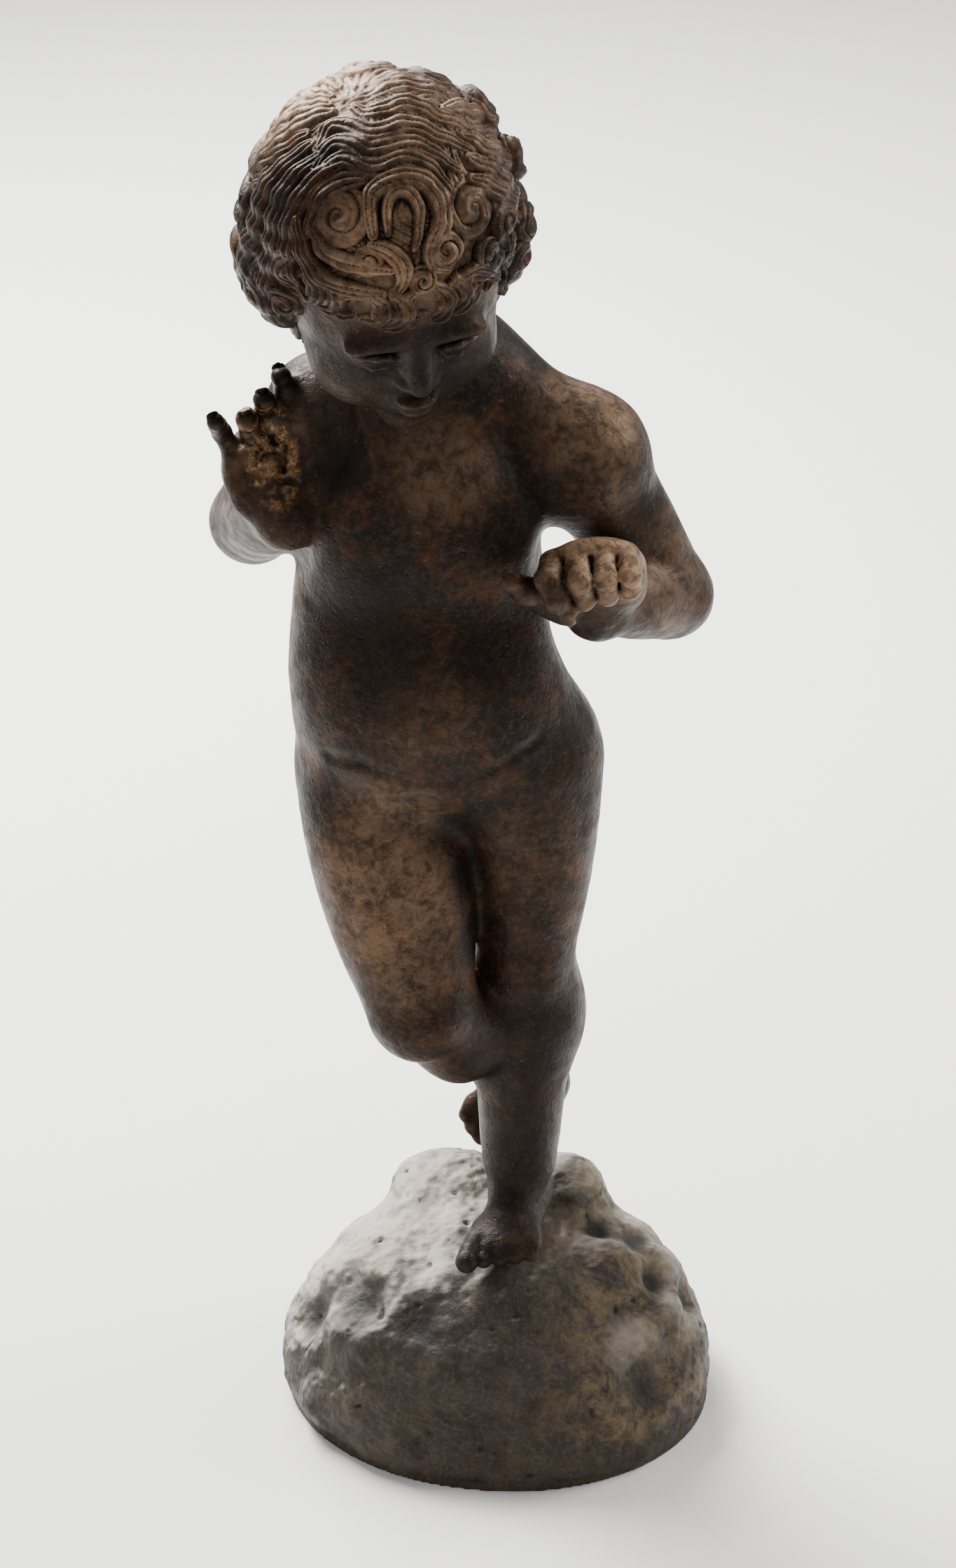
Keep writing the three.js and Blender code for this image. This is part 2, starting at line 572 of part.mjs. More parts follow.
// Thins a closed mesh to a number of faces by collapsing the edges that change its shape least.
function thin({ points, faces }, target) {
  const fans = points.map(() => new Set());
  const quadrics = points.map(() => new Float64Array(10));
  faces.forEach((face, f) => {
    const [p, q, r] = face.map((v) => points[v]);
    const n = cross(minus(q, p), minus(r, p));
    const area = Math.hypot(...n) || 1e-12;
    const [a, b, c] = n.map((v) => v / area);
    const d = -dot([a, b, c], p);
    const terms = [a * a, a * b, a * c, a * d, b * b, b * c, b * d, c * c, c * d, d * d];
    for (const v of face) {
      fans[v].add(f);
      terms.forEach((term, i) => (quadrics[v][i] += term * area));
    }
  });
  const error = (q, [x, y, z]) =>
    q[0] * x * x + 2 * q[1] * x * y + 2 * q[2] * x * z + 2 * q[3] * x + q[4] * y * y +
    2 * q[5] * y * z + 2 * q[6] * y + q[7] * z * z + 2 * q[8] * z + q[9];
  const best = (u, v) => {
    const q = quadrics[u].map((value, i) => value + quadrics[v][i]);
    const middle = between(points[u], points[v], 0.5);
    const choices = [middle, points[u], points[v]];
    const rows = [[q[0], q[1], q[2]], [q[1], q[4], q[5]], [q[2], q[5], q[7]]];
    const det = dot(rows[0], cross(rows[1], rows[2]));
    const scale = q[0] + q[4] + q[7];
    if (Math.abs(det) > 1e-4 * scale ** 3) {
      const right = [-q[3], -q[6], -q[8]];
      const columns = [0, 1, 2].map((c) => rows.map((row) => row[c]));
      const solve = (c) => {
        const swapped = columns.map((column, i) => (i === c ? right : column));
        return dot(swapped[0], cross(swapped[1], swapped[2])) / det;
      };
      const optimum = [solve(0), solve(1), solve(2)];
      const edge = Math.hypot(...minus(points[u], points[v]));
      if (Math.hypot(...minus(optimum, middle)) < edge) choices.unshift(optimum);
    }
    const costs = choices.map((choice) => error(q, choice));
    const least = costs.indexOf(Math.min(...costs));
    const stretch = 1e-4 * dot(minus(points[u], points[v]), minus(points[u], points[v]));
    return { cost: costs[least] + stretch, point: choices[least] };
  };
  const around = (v) => new Set([...fans[v]].flatMap((f) => faces[f]).filter((w) => w !== v));
  const flips = (v, other, point) =>
    [...fans[v]].some((f) => {
      if (faces[f].includes(other)) return false;
      const old = faces[f].map((w) => points[w]);
      const moved = faces[f].map((w) => (w === v ? point : points[w]));
      const [m, n] = [old, moved].map(([p, q, r]) => cross(minus(q, p), minus(r, p)));
      return dot(m, n) < 0.3 * Math.hypot(...m) * Math.hypot(...n) || Math.hypot(...n) < 1e-3;
    });
  const stamps = new Int32Array(points.length);
  const queue = new Queue();
  const offer = (u, v) => {
    const { cost, point } = best(u, v);
    queue.push(cost, { u, v, point, stamp: stamps[u] + stamps[v] });
  };
  faces.forEach((face) => face.forEach((u, i) => u < face[(i + 1) % 3] && offer(u, face[(i + 1) % 3])));
  let count = faces.length;
  while (count > target && queue.items.length) {
    const { u, v, point, stamp } = queue.pop().thing;
    if (!fans[u].size || !fans[v].size || stamp !== stamps[u] + stamps[v]) continue;
    const ringV = around(v);
    const shared = [...around(u)].filter((w) => ringV.has(w));
    if (shared.length !== 2 || shared.some((w) => fans[w].size <= 3)) continue;
    if (flips(u, v, point) || flips(v, u, point)) continue;
    for (const f of fans[v]) {
      if (faces[f].includes(u)) {
        faces[f].forEach((w) => w !== v && fans[w].delete(f));
        faces[f] = null;
        count--;
      } else {
        faces[f] = faces[f].map((w) => (w === v ? u : w));
        fans[u].add(f);
      }
    }
    fans[v].clear();
    points[u] = point;
    quadrics[u] = quadrics[u].map((value, i) => value + quadrics[v][i]);
    stamps[u]++;
    for (const w of around(u)) offer(u, w);
  }
  return toGeometry(points, faces.filter(Boolean));
}

// A geometry of the faces and only the points that they use.
function toGeometry(points, faces) {
  const used = [...new Set(faces.flat())];
  const place = new Map(used.map((v, i) => [v, i]));
  const geometry = new THREE.BufferGeometry();
  geometry.setAttribute("position", new THREE.Float32BufferAttribute(used.flatMap((v) => points[v]), 3));
  geometry.setIndex(faces.flat().map((v) => place.get(v)));
  return geometry;
}

// Joining and cutting.

const wasm = await Module();
wasm.setup();

function toSolid(geometry) {
  return new wasm.Manifold(new wasm.Mesh({
    numProp: 3,
    vertProperties: Float32Array.from(geometry.attributes.position.array),
    triVerts: Uint32Array.from(geometry.index.array),
  }));
}

function fromSolid(solid) {
  const { vertProperties, triVerts } = solid.getMesh();
  const geometry = new THREE.BufferGeometry();
  geometry.setAttribute("position", new THREE.BufferAttribute(vertProperties, 3));
  return geometry.setIndex(new THREE.BufferAttribute(triVerts, 1));
}

// The same closed mesh with each point moved out along its normal.
function swollen(geometry, by) {
  const grown = geometry.clone();
  grown.computeVertexNormals();
  const { position, normal } = grown.attributes;
  for (let i = 0; i < position.count; i++)
    position.setXYZ(
      i,
      position.getX(i) + by * normal.getX(i),
      position.getY(i) + by * normal.getY(i),
      position.getZ(i) + by * normal.getZ(i),
    );
  return grown;
}

function box(width, depth, height, x, y, z) {
  const geometry = new THREE.BoxGeometry(width, depth, height).translate(x, y, z);
  geometry.deleteAttribute("normal");
  geometry.deleteAttribute("uv");
  return mergeVertices(geometry);
}

// The figure, its sole bedded in the top of the boulder.

const lead = new THREE.MeshStandardMaterial({ color: 0x4a3d33, roughness: 0.62, metalness: 0.35 });
const weatheredRock = new THREE.MeshStandardMaterial({ color: 0x6b6055, roughness: 0.88, metalness: 0.1 });

const FOOTHOLD = [0.047 * ROCK_WIDTH, 0.02 * ROCK_DEPTH, ROCK_HEIGHT - SOLE_SINK];
const FIGURE_BOX = { low: [-270, -200, -14], high: [190, 190, 1040] };
const puttoGeometry = thin(polygonise(figure(), FIGURE_BOX, FIGURE_CELL / UNIT), FIGURE_FACES);
puttoGeometry.scale(UNIT, UNIT, UNIT);

const putto = new THREE.Mesh(puttoGeometry, lead);
putto.name = "putto";
putto.position.set(...FOOTHOLD);

const ROCK_BOX = {
  low: [-0.62 * ROCK_WIDTH, -0.66 * ROCK_DEPTH, -0.8 * ROCK_HEIGHT],
  high: [0.62 * ROCK_WIDTH, 0.66 * ROCK_DEPTH, 1.4 * ROCK_HEIGHT],
};
const rawRock = toSolid(thin(polygonise(boulder(), ROCK_BOX, ROCK_CELL), ROCK_FACES));
const ground = toSolid(box(2 * ROCK_WIDTH, 2 * ROCK_DEPTH, ROCK_HEIGHT, 0, 0, -ROCK_HEIGHT / 2));
const seat = toSolid(swollen(puttoGeometry, SEAT_GAP).translate(...FOOTHOLD));
const rock = new THREE.Mesh(fromSolid(rawRock.subtract(ground).subtract(seat)), weatheredRock);
rock.name = "boulder";

const statue = new THREE.Group();
statue.add(putto, rock);
export default statue;
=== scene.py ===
"""A lead garden statue of a putto that steps on to a boulder.

The figure and the boulder are smooth blends of simple solids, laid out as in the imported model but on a
fine grid. The hair is a relief of locks and curls over the skull. Lengths inside the figure are
thousandths of its height, with the sole of the standing foot at the origin; the figure faces -Y.
"""
import json
import logging
import math
from dataclasses import dataclass, field
from enum import Enum
from typing import Protocol

import bpy
import numpy as np
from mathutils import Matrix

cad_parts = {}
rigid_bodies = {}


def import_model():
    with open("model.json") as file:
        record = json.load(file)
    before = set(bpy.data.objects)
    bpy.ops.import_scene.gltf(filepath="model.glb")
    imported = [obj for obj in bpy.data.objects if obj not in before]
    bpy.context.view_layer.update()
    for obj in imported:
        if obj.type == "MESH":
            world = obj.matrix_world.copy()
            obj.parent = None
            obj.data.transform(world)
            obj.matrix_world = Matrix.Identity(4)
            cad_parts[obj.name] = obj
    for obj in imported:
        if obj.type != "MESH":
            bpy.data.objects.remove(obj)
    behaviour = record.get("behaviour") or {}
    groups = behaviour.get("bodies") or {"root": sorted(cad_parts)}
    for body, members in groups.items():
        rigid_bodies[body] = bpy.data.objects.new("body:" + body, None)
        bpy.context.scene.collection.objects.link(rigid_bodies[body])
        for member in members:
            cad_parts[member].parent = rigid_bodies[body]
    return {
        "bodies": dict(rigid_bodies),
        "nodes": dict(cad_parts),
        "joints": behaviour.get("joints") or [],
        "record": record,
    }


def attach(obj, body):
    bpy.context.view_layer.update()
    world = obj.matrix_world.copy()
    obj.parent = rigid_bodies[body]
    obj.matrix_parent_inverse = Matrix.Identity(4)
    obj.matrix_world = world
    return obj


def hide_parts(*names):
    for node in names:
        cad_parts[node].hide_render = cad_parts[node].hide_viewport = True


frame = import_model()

Vec = tuple[float, float, float]
Place = tuple[float, float]
Colour = tuple[float, float, float, float]

log = logging.getLogger("statue")
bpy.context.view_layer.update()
MILLIMETRE = 0.001


# Solids and blends.

class Solid(Protocol):
    """Anything that tells how far points are from its surface, less than nothing inside."""

    def distance(self, points: np.ndarray) -> np.ndarray:
        """Signed distance of each point, for points given as three rows."""


@dataclass(frozen=True)
class Frame:
    """A place with three unit axes, held as the columns of a matrix."""

    origin: np.ndarray
    axes: np.ndarray

    @classmethod
    def turned(cls, origin: Vec = (0, 0, 0), turn: Vec = (0, 0, 0)) -> "Frame":
        """A frame turned in degrees about X, then Y, then Z.

        Args:
            origin: where the frame stands.
            turn: the three angles.

        Returns:
            The frame.
        """
        (cx, cy, cz), (sx, sy, sz) = np.cos(np.radians(turn)), np.sin(np.radians(turn))
        about_x = np.array([[1, 0, 0], [0, cx, -sx], [0, sx, cx]])
        about_y = np.array([[cy, 0, sy], [0, 1, 0], [-sy, 0, cy]])
        about_z = np.array([[cz, -sz, 0], [sz, cz, 0], [0, 0, 1]])
        return cls(np.array(origin, float), about_z @ about_y @ about_x)

    @classmethod
    def aimed(cls, origin: Vec, along: Vec, facing: Vec) -> "Frame":
        """A frame with +Y along one direction and +Z as near as can be to another.

        Args:
            origin: where the frame stands.
            along: the direction of +Y.
            facing: the direction that +Z leans to.

        Returns:
            The frame.
        """
        y = np.array(along, float) / np.linalg.norm(along)
        x = np.cross(y, facing)
        x /= np.linalg.norm(x)
        return cls(np.array(origin, float), np.column_stack([x, y, np.cross(x, y)]))

    def inward(self, points: np.ndarray) -> np.ndarray:
        """Points seen from inside the frame."""
        return self.axes.T @ (points - self.origin[:, None])

    def outward(self, points: np.ndarray) -> np.ndarray:
        """Points of the frame seen from outside it."""
        return self.axes @ points + self.origin[:, None]


@dataclass(frozen=True)
class Limb:
    """A round-ended limb between two points, with a bulge at its middle."""

    start: Vec
    end: Vec
    radius: float
    end_radius: float
    bulge: float = 0.0

    def distance(self, points: np.ndarray) -> np.ndarray:
        """Signed distance of each point."""
        start = np.array(self.start, float)[:, None]
        way = np.array(self.end, float)[:, None] - start
        off = points - start
        t = np.clip((off * way).sum(0) / (way * way).sum(), 0, 1)
        radius = self.radius + (self.end_radius - self.radius) * t + self.bulge * 4 * t * (1 - t)
        off = off - way * t
        return np.sqrt((off * off).sum(0)) - radius


@dataclass(frozen=True)
class Mass:
    """An ellipsoid in a frame of its own."""

    frame: Frame
    radii: Vec

    def distance(self, points: np.ndarray) -> np.ndarray:
        """Signed distance of each point, near enough close to the surface."""
        radii = np.array(self.radii, float)[:, None]
        off = self.frame.inward(points) / radii
        near = np.sqrt((off * off).sum(0))
        slope = np.sqrt(((off / radii) ** 2).sum(0))
        return near * (near - 1) / np.maximum(slope, 1e-9)


def mass(centre: Vec, radii: Vec, turn: Vec = (0, 0, 0)) -> Mass:
    """An ellipsoid at a centre, turned in degrees about X, Y and Z."""
    return Mass(Frame.turned(centre, turn), radii)


@dataclass(frozen=True)
class Ground:
    """Everything below the ground."""

    def distance(self, points: np.ndarray) -> np.ndarray:
        """Height of each point."""
        return points[2]


@dataclass(frozen=True)
class Step:
    """One solid of a form: added or cut away, with a soft edge."""

    solid: Solid
    blend: float
    added: bool

    def onto(self, best: np.ndarray, other: np.ndarray) -> np.ndarray:
        """The distances so far with those of this step's solid blended in.

        Args:
            best: distances to the form so far.
            other: distances to this step's solid.

        Returns:
            The new distances.
        """
        if not self.added:
            best = -best
        low = np.minimum(best, other)
        if self.blend > 0:
            overlap = np.maximum(self.blend - np.abs(best - other), 0)
            low = low - overlap * overlap / (4 * self.blend)
        return low if self.added else -low


@dataclass
class Form:
    """Solids blended in order, in a frame and at a scale of their own."""

    blend: float = 0.0
    frame: Frame = field(default_factory=Frame.turned)
    scale: float = 1.0
    swell: float = 0.0
    steps: list[Step] = field(default_factory=list)
    far: list[np.ndarray] = field(default_factory=list)

    def add(self, solid: Solid, blend: float | None = None) -> "Form":
        """Adds a solid."""
        self.steps.append(Step(solid, self.blend if blend is None else blend, True))
        return self

    def cut(self, solid: Solid, blend: float | None = None) -> "Form":
        """Cuts a solid away."""
        self.steps.append(Step(solid, self.blend if blend is None else blend, False))
        return self

    def joined(self, distances: list[np.ndarray]) -> np.ndarray:
        """The steps' distances blended into one, in the outer scale."""
        best = np.full(distances[0].shape if distances else (), 1e6)
        for step, other in zip(self.steps, distances):
            best = step.onto(best, other)
        return best * self.scale - self.swell

    def distance(self, points: np.ndarray) -> np.ndarray:
        """Signed distance of each point."""
        local = self.frame.inward(points) / self.scale
        if not self.steps:
            return np.full(points.shape[1], 1e6)
        return self.joined([step.solid.distance(local) for step in self.steps])

    def survey(self, points: np.ndarray) -> np.ndarray:
        """Signed distance of each point, kept step by step for nearby()."""
        local = self.frame.inward(points) / self.scale
        self.far = [
            step.solid.survey(local) if isinstance(step.solid, Form) else step.solid.distance(local)
            for step in self.steps
        ]
        return self.joined(self.far)

    def nearby(self, index: int, reach: float) -> "Form":
        """The form with only the steps that matter near one surveyed point.

        Args:
            index: which surveyed point.
            reach: how far round it the result has to hold.

        Returns:
            A smaller form.
        """
        span = 2 * reach / self.scale
        nearest = min((far[index] for far, step in zip(self.far, self.steps) if step.added), default=0)
        kept = Form(self.blend, self.frame, self.scale, self.swell)
        for far, step in zip(self.far, self.steps):
            if far[index] < (max(nearest, 0) if step.added else 0) + span + step.blend:
                solid = step.solid
                if isinstance(solid, Form):
                    solid = solid.nearby(index, span / 2)
                kept.steps.append(Step(solid, step.blend, step.added))
        return kept


@dataclass
class Grid:
    """A box of cells, in which a form gets one mesh point in each cell that its surface crosses."""

    low: Vec
    high: Vec
    cell: float
    block: int = 12
    slack: float = 1.5

    def skin(self, form: Form) -> tuple[np.ndarray, np.ndarray]:
        """The surface of a form as points and quads.

        Args:
            form: the form.

        Returns:
            Points as three rows, and quads as rows of four point numbers.
        """
        low, n = np.array(self.low, float), self.block
        counts = np.ceil((np.array(self.high) - low) / (self.cell * n)).astype(int)
        blocks = np.stack(np.meshgrid(*map(np.arange, counts), indexing="ij"), -1).reshape(-1, 3)
        centres = (low + (blocks + 0.5) * n * self.cell).T
        reach = n * self.cell * math.sqrt(3) / 2 * self.slack
        near = np.flatnonzero(np.abs(form.survey(centres)) < reach)
        lattice = np.stack(np.meshgrid(*[np.arange(n + 1)] * 3, indexing="ij"), 0).reshape(3, -1)
        stride = np.array([1, counts[0] * n + 1, (counts[0] * n + 1) * (counts[1] * n + 1)])
        cells, points, quads = [], [], []
        for index in near:
            start = blocks[index] * n
            part = form.nearby(index, reach)
            values = part.distance(low[:, None] + (start[:, None] + lattice) * self.cell)
            values = values.reshape(n + 1, n + 1, n + 1)
            if (values < 0).all() or (values >= 0).all():
                continue
            where, inner, faces = self.crossings(values, start, stride)
            place = low[:, None] + (start[:, None] + inner) * self.cell
            cells.append(where)
            points.append(self.settled(part, place))
            quads.append(faces)
        order = np.argsort(np.concatenate(cells))
        known = np.concatenate(cells)[order]
        faces = np.concatenate(quads)
        found = np.clip(np.searchsorted(known, faces), 0, len(known) - 1)
        return np.concatenate(points, 1)[:, order], found[(known[found] == faces).all(1)]

    def crossings(
        self, values: np.ndarray, start: np.ndarray, stride: np.ndarray
    ) -> tuple[np.ndarray, np.ndarray, np.ndarray]:
        """The cells of one block that the surface crosses.

        Args:
            values: distances at the block's corners.
            start: the block's first cell.
            stride: how far a step along each axis moves a cell's number.

        Returns:
            Cell numbers, points in cells from the block's start, and quads of cell numbers.
        """
        n = self.block
        count, total = np.zeros((n, n, n)), np.zeros((3, n, n, n))
        faces = []
        for a in range(3):
            b, c = (a + 1) % 3, (a + 2) % 3
            turned = values.transpose(a, b, c)
            crossed = (turned[:-1] < 0) != (turned[1:] < 0)
            fall = np.where(crossed, turned[:-1] - turned[1:], 1)
            share = np.where(crossed, turned[:-1] / fall, 0)
            for p in (0, 1):
                for q in (0, 1):
                    seen = crossed[:, p:n + p, q:n + q]
                    count.transpose(a, b, c)[...] += seen
                    total[a].transpose(a, b, c)[...] += share[:, p:n + p, q:n + q]
                    total[b].transpose(a, b, c)[...] += seen * p
                    total[c].transpose(a, b, c)[...] += seen * q
            own = np.stack(np.nonzero(crossed[:, :n, :n]))
            number = (start[[a, b, c]][:, None] + own).T @ stride[[a, b, c]]
            ring = [number - stride[b] - stride[c], number - stride[c], number, number - stride[b]]
            ring = np.stack(ring, 1)
            rising = turned[own[0], own[1], own[2]] < 0
            faces.append(np.where(rising[:, None], ring, ring[:, ::-1]))
        used = np.nonzero(count)
        where = (start + np.stack(used, 1)) @ stride
        inner = np.stack(used) + total[(slice(None), *used)] / count[used]
        return where, inner, np.concatenate(faces)

    def settled(self, form: Form, points: np.ndarray) -> np.ndarray:
        """Points moved on to the surface by one step down the slope."""
        step = 0.2 * self.cell
        here = form.distance(points)
        slope = np.stack([
            form.distance(points + step * axis[:, None]) - here for axis in np.eye(3)
        ]) / step
        move = slope * here / np.maximum((slope * slope).sum(0), 0.2)
        return points - np.clip(move, -0.6 * self.cell, 0.6 * self.cell)


# Noise, meshes and shaders.

class Grain:
    """Smooth seeded noise, from about -1 to 1."""

    PRIMES = np.array([73856093, 19349663, 83492791])

    def __init__(self, seed: int) -> None:
        """Draws the table of values."""
        self.table = np.random.default_rng(seed).uniform(-1, 1, 4096)

    def layer(self, points: np.ndarray, size: float) -> np.ndarray:
        """One layer of noise.

        Args:
            points: places as three rows.
            size: width of its grains.

        Returns:
            A value for each point.
        """
        scaled = points / size + 1000
        base = np.floor(scaled).astype(np.int64)
        share = scaled - base
        share = share * share * (3 - 2 * share)
        result = np.zeros(points.shape[1])
        for corner in np.ndindex(2, 2, 2):
            offset = np.array(corner)[:, None]
            mixed = ((base + offset) * self.PRIMES[:, None])
            key = (mixed[0] ^ mixed[1] ^ mixed[2]) & 4095
            weight = np.where(offset == 1, share, 1 - share).prod(0)
            result += self.table[key] * weight
        return result

    def rough(self, points: np.ndarray, size: float, layers: int = 3) -> np.ndarray:
        """Several layers of noise, each half as wide and half as strong as the last."""
        return sum(self.layer(points, size / 2**i) / 2**i for i in range(layers))


def fade(value: np.ndarray, low: float, high: float) -> np.ndarray:
    """0 below low, 1 above high and smooth between them."""
    t = np.clip((value - low) / (high - low), 0, 1)
    return t * t * (3 - 2 * t)


def new_piece(name: str, points: np.ndarray, faces: np.ndarray) -> bpy.types.Object:
    """A smooth mesh object from points and faces that all have as many corners.

    Args:
        name: the piece's name.
        points: places as three rows, in metres.
        faces: rows of point numbers.

    Returns:
        The object, in the scene.
    """
    mesh = bpy.data.meshes.new(name)
    mesh.vertices.add(points.shape[1])
    mesh.vertices.foreach_set("co", points.T.astype(np.float32).ravel())
    mesh.loops.add(faces.size)
    mesh.loops.foreach_set("vertex_index", faces.astype(np.int32).ravel())
    mesh.polygons.add(len(faces))
    mesh.polygons.foreach_set("loop_start", np.arange(0, faces.size, faces.shape[1], dtype=np.int32))
    mesh.update(calc_edges=True)
    mesh.validate()
    mesh.shade_smooth()
    piece = bpy.data.objects.new(name, mesh)
    bpy.context.scene.collection.objects.link(piece)
    return piece


def thinned(piece: bpy.types.Object, triangles: int) -> None:
    """Thins a piece's mesh to a number of triangles, most where it bends most."""
    now = sum(len(face.vertices) - 2 for face in piece.data.polygons)
    thin = piece.modifiers.new("thin", "DECIMATE")
    thin.ratio = min(1.0, triangles / now)
    thin.use_collapse_triangulate = True
    graph = bpy.context.evaluated_depsgraph_get()
    mesh = bpy.data.meshes.new_from_object(piece.evaluated_get(graph))
    piece.modifiers.clear()
    old, piece.data = piece.data, mesh
    name = old.name
    bpy.data.meshes.remove(old)
    mesh.name = name
    mesh.shade_smooth()


def mesh_points(mesh: bpy.types.Mesh) -> np.ndarray:
    """A mesh's points as three rows, in metres."""
    flat = np.empty(3 * len(mesh.vertices))
    mesh.vertices.foreach_get("co", flat)
    return flat.reshape(-1, 3).T


def mesh_normals(mesh: bpy.types.Mesh) -> np.ndarray:
    """A mesh's normals at its points as three rows."""
    flat = np.empty(3 * len(mesh.vertices), dtype=np.float32)
    mesh.vertex_normals.foreach_get("vector", flat)
    return flat.reshape(-1, 3).T.astype(float)


def displaced(mesh: bpy.types.Mesh, by: np.ndarray) -> None:
    """Moves each point of a mesh along its normal, by metres."""
    points = mesh_points(mesh) + mesh_normals(mesh) * by
    mesh.vertices.foreach_set("co", points.T.astype(np.float32).ravel())
    mesh.update()


def hollows(mesh: bpy.types.Mesh, rounds: int) -> np.ndarray:
    """How deep each point lies below its smoothed surroundings, in metres; less than 0 on ridges."""
    edges = np.empty(2 * len(mesh.edges), dtype=np.int32)
    mesh.edges.foreach_get("vertices", edges)
    a, b = edges.reshape(-1, 2).T
    points = mesh_points(mesh)
    soft, count = points.copy(), points.shape[1]
    ties = np.maximum(np.bincount(a, minlength=count) + np.bincount(b, minlength=count), 1)
    for _ in range(rounds):
        for axis in range(3):
            row = soft[axis]
            sums = np.bincount(a, row[b], count) + np.bincount(b, row[a], count)
            soft[axis] = 0.4 * row + 0.6 * sums / ties
    return ((soft - points) * mesh_normals(mesh)).sum(0)


def set_layer(mesh: bpy.types.Mesh, name: str, values: np.ndarray) -> None:
    """Stores one number for each point of a mesh, for its material."""
    layer = mesh.attributes.new(name, "FLOAT", "POINT")
    layer.data.foreach_set("value", np.clip(values, 0, 1).astype(np.float32))


def shade(code: str) -> Colour:
    """A colour from its six-figure code, as light that adds up."""
    parts = [int(code[i:i + 2], 16) / 255 for i in (0, 2, 4)]
    linear = [v / 12.92 if v <= 0.04045 else ((v + 0.055) / 1.055) ** 2.4 for v in parts]
    return (*linear, 1.0)


class Shader:
    """A material whose nodes are added by short calls."""

    def __init__(self, name: str) -> None:
        """Makes the material."""
        self.material = bpy.data.materials.new(name)
        self.material.use_nodes = True
        self.tree = self.material.node_tree
        self.surface = self.tree.nodes["Principled BSDF"]
        self.place = self.node("ShaderNodeTexCoord").outputs["Object"]

    def node(self, kind: str, **settings: object) -> bpy.types.Node:
        """A new node with settings."""
        node = self.tree.nodes.new(kind)
        for name, value in settings.items():
            setattr(node, name, value)
        return node

    def put(self, socket: bpy.types.NodeSocket, value: object) -> None:
        """Links a socket to another, or gives it a value."""
        if isinstance(value, bpy.types.NodeSocket):
            self.tree.links.new(value, socket)
        else:
            socket.default_value = value

    def noise(
        self, size: float, detail: float = 4, rough: float = 0.55, warp: float = 0.0
    ) -> bpy.types.NodeSocket:
        """Noise with grains of a size in metres."""
        node = self.node("ShaderNodeTexNoise")
        self.put(node.inputs["Vector"], self.place)
        settings = {"Scale": 1 / size, "Detail": detail, "Roughness": rough, "Distortion": warp}
        for name, value in settings.items():
            node.inputs[name].default_value = value
        return node.outputs["Fac"]

    def spots(self, size: float) -> bpy.types.NodeSocket:
        """Distance from scattered spots, a size apart in metres."""
        node = self.node("ShaderNodeTexVoronoi")
        self.put(node.inputs["Vector"], self.place)
        node.inputs["Scale"].default_value = 1 / size
        return node.outputs["Distance"]

    def layer(self, name: str) -> bpy.types.NodeSocket:
        """A number stored at the mesh's points."""
        return self.node("ShaderNodeAttribute", attribute_name=name).outputs["Fac"]

    def ramp(
        self, value: object, low: float, high: float, start: float = 0.0, end: float = 1.0
    ) -> bpy.types.NodeSocket:
        """A value from low to high turned smoothly into start to end."""
        node = self.node("ShaderNodeMapRange", interpolation_type="SMOOTHSTEP")
        for i, item in enumerate((value, low, high, start, end)):
            self.put(node.inputs[i], item)
        return node.outputs[0]

    def reckon(self, operation: str, first: object, second: object) -> bpy.types.NodeSocket:
        """Two numbers added, multiplied and so on."""
        node = self.node("ShaderNodeMath", operation=operation, use_clamp=operation != "ADD")
        self.put(node.inputs[0], first)
        self.put(node.inputs[1], second)
        return node.outputs[0]

    def mix(self, share: object, first: object, second: object) -> bpy.types.NodeSocket:
        """The first colour, and as much of the second as the share says."""
        node = self.node("ShaderNodeMix", data_type="RGBA")
        for i, item in ((0, share), (6, first), (7, second)):
            self.put(node.inputs[i], item)
        return node.outputs[2]

    def bump(self, height: object, depth: float, under: object = None) -> bpy.types.NodeSocket:
        """A bumped normal from a height, over another."""
        node = self.node("ShaderNodeBump")
        node.inputs["Strength"].default_value = 1.0
        node.inputs["Distance"].default_value = depth
        self.put(node.inputs["Height"], height)
        if under is not None:
            self.put(node.inputs["Normal"], under)
        return node.outputs["Normal"]


# Finishes.

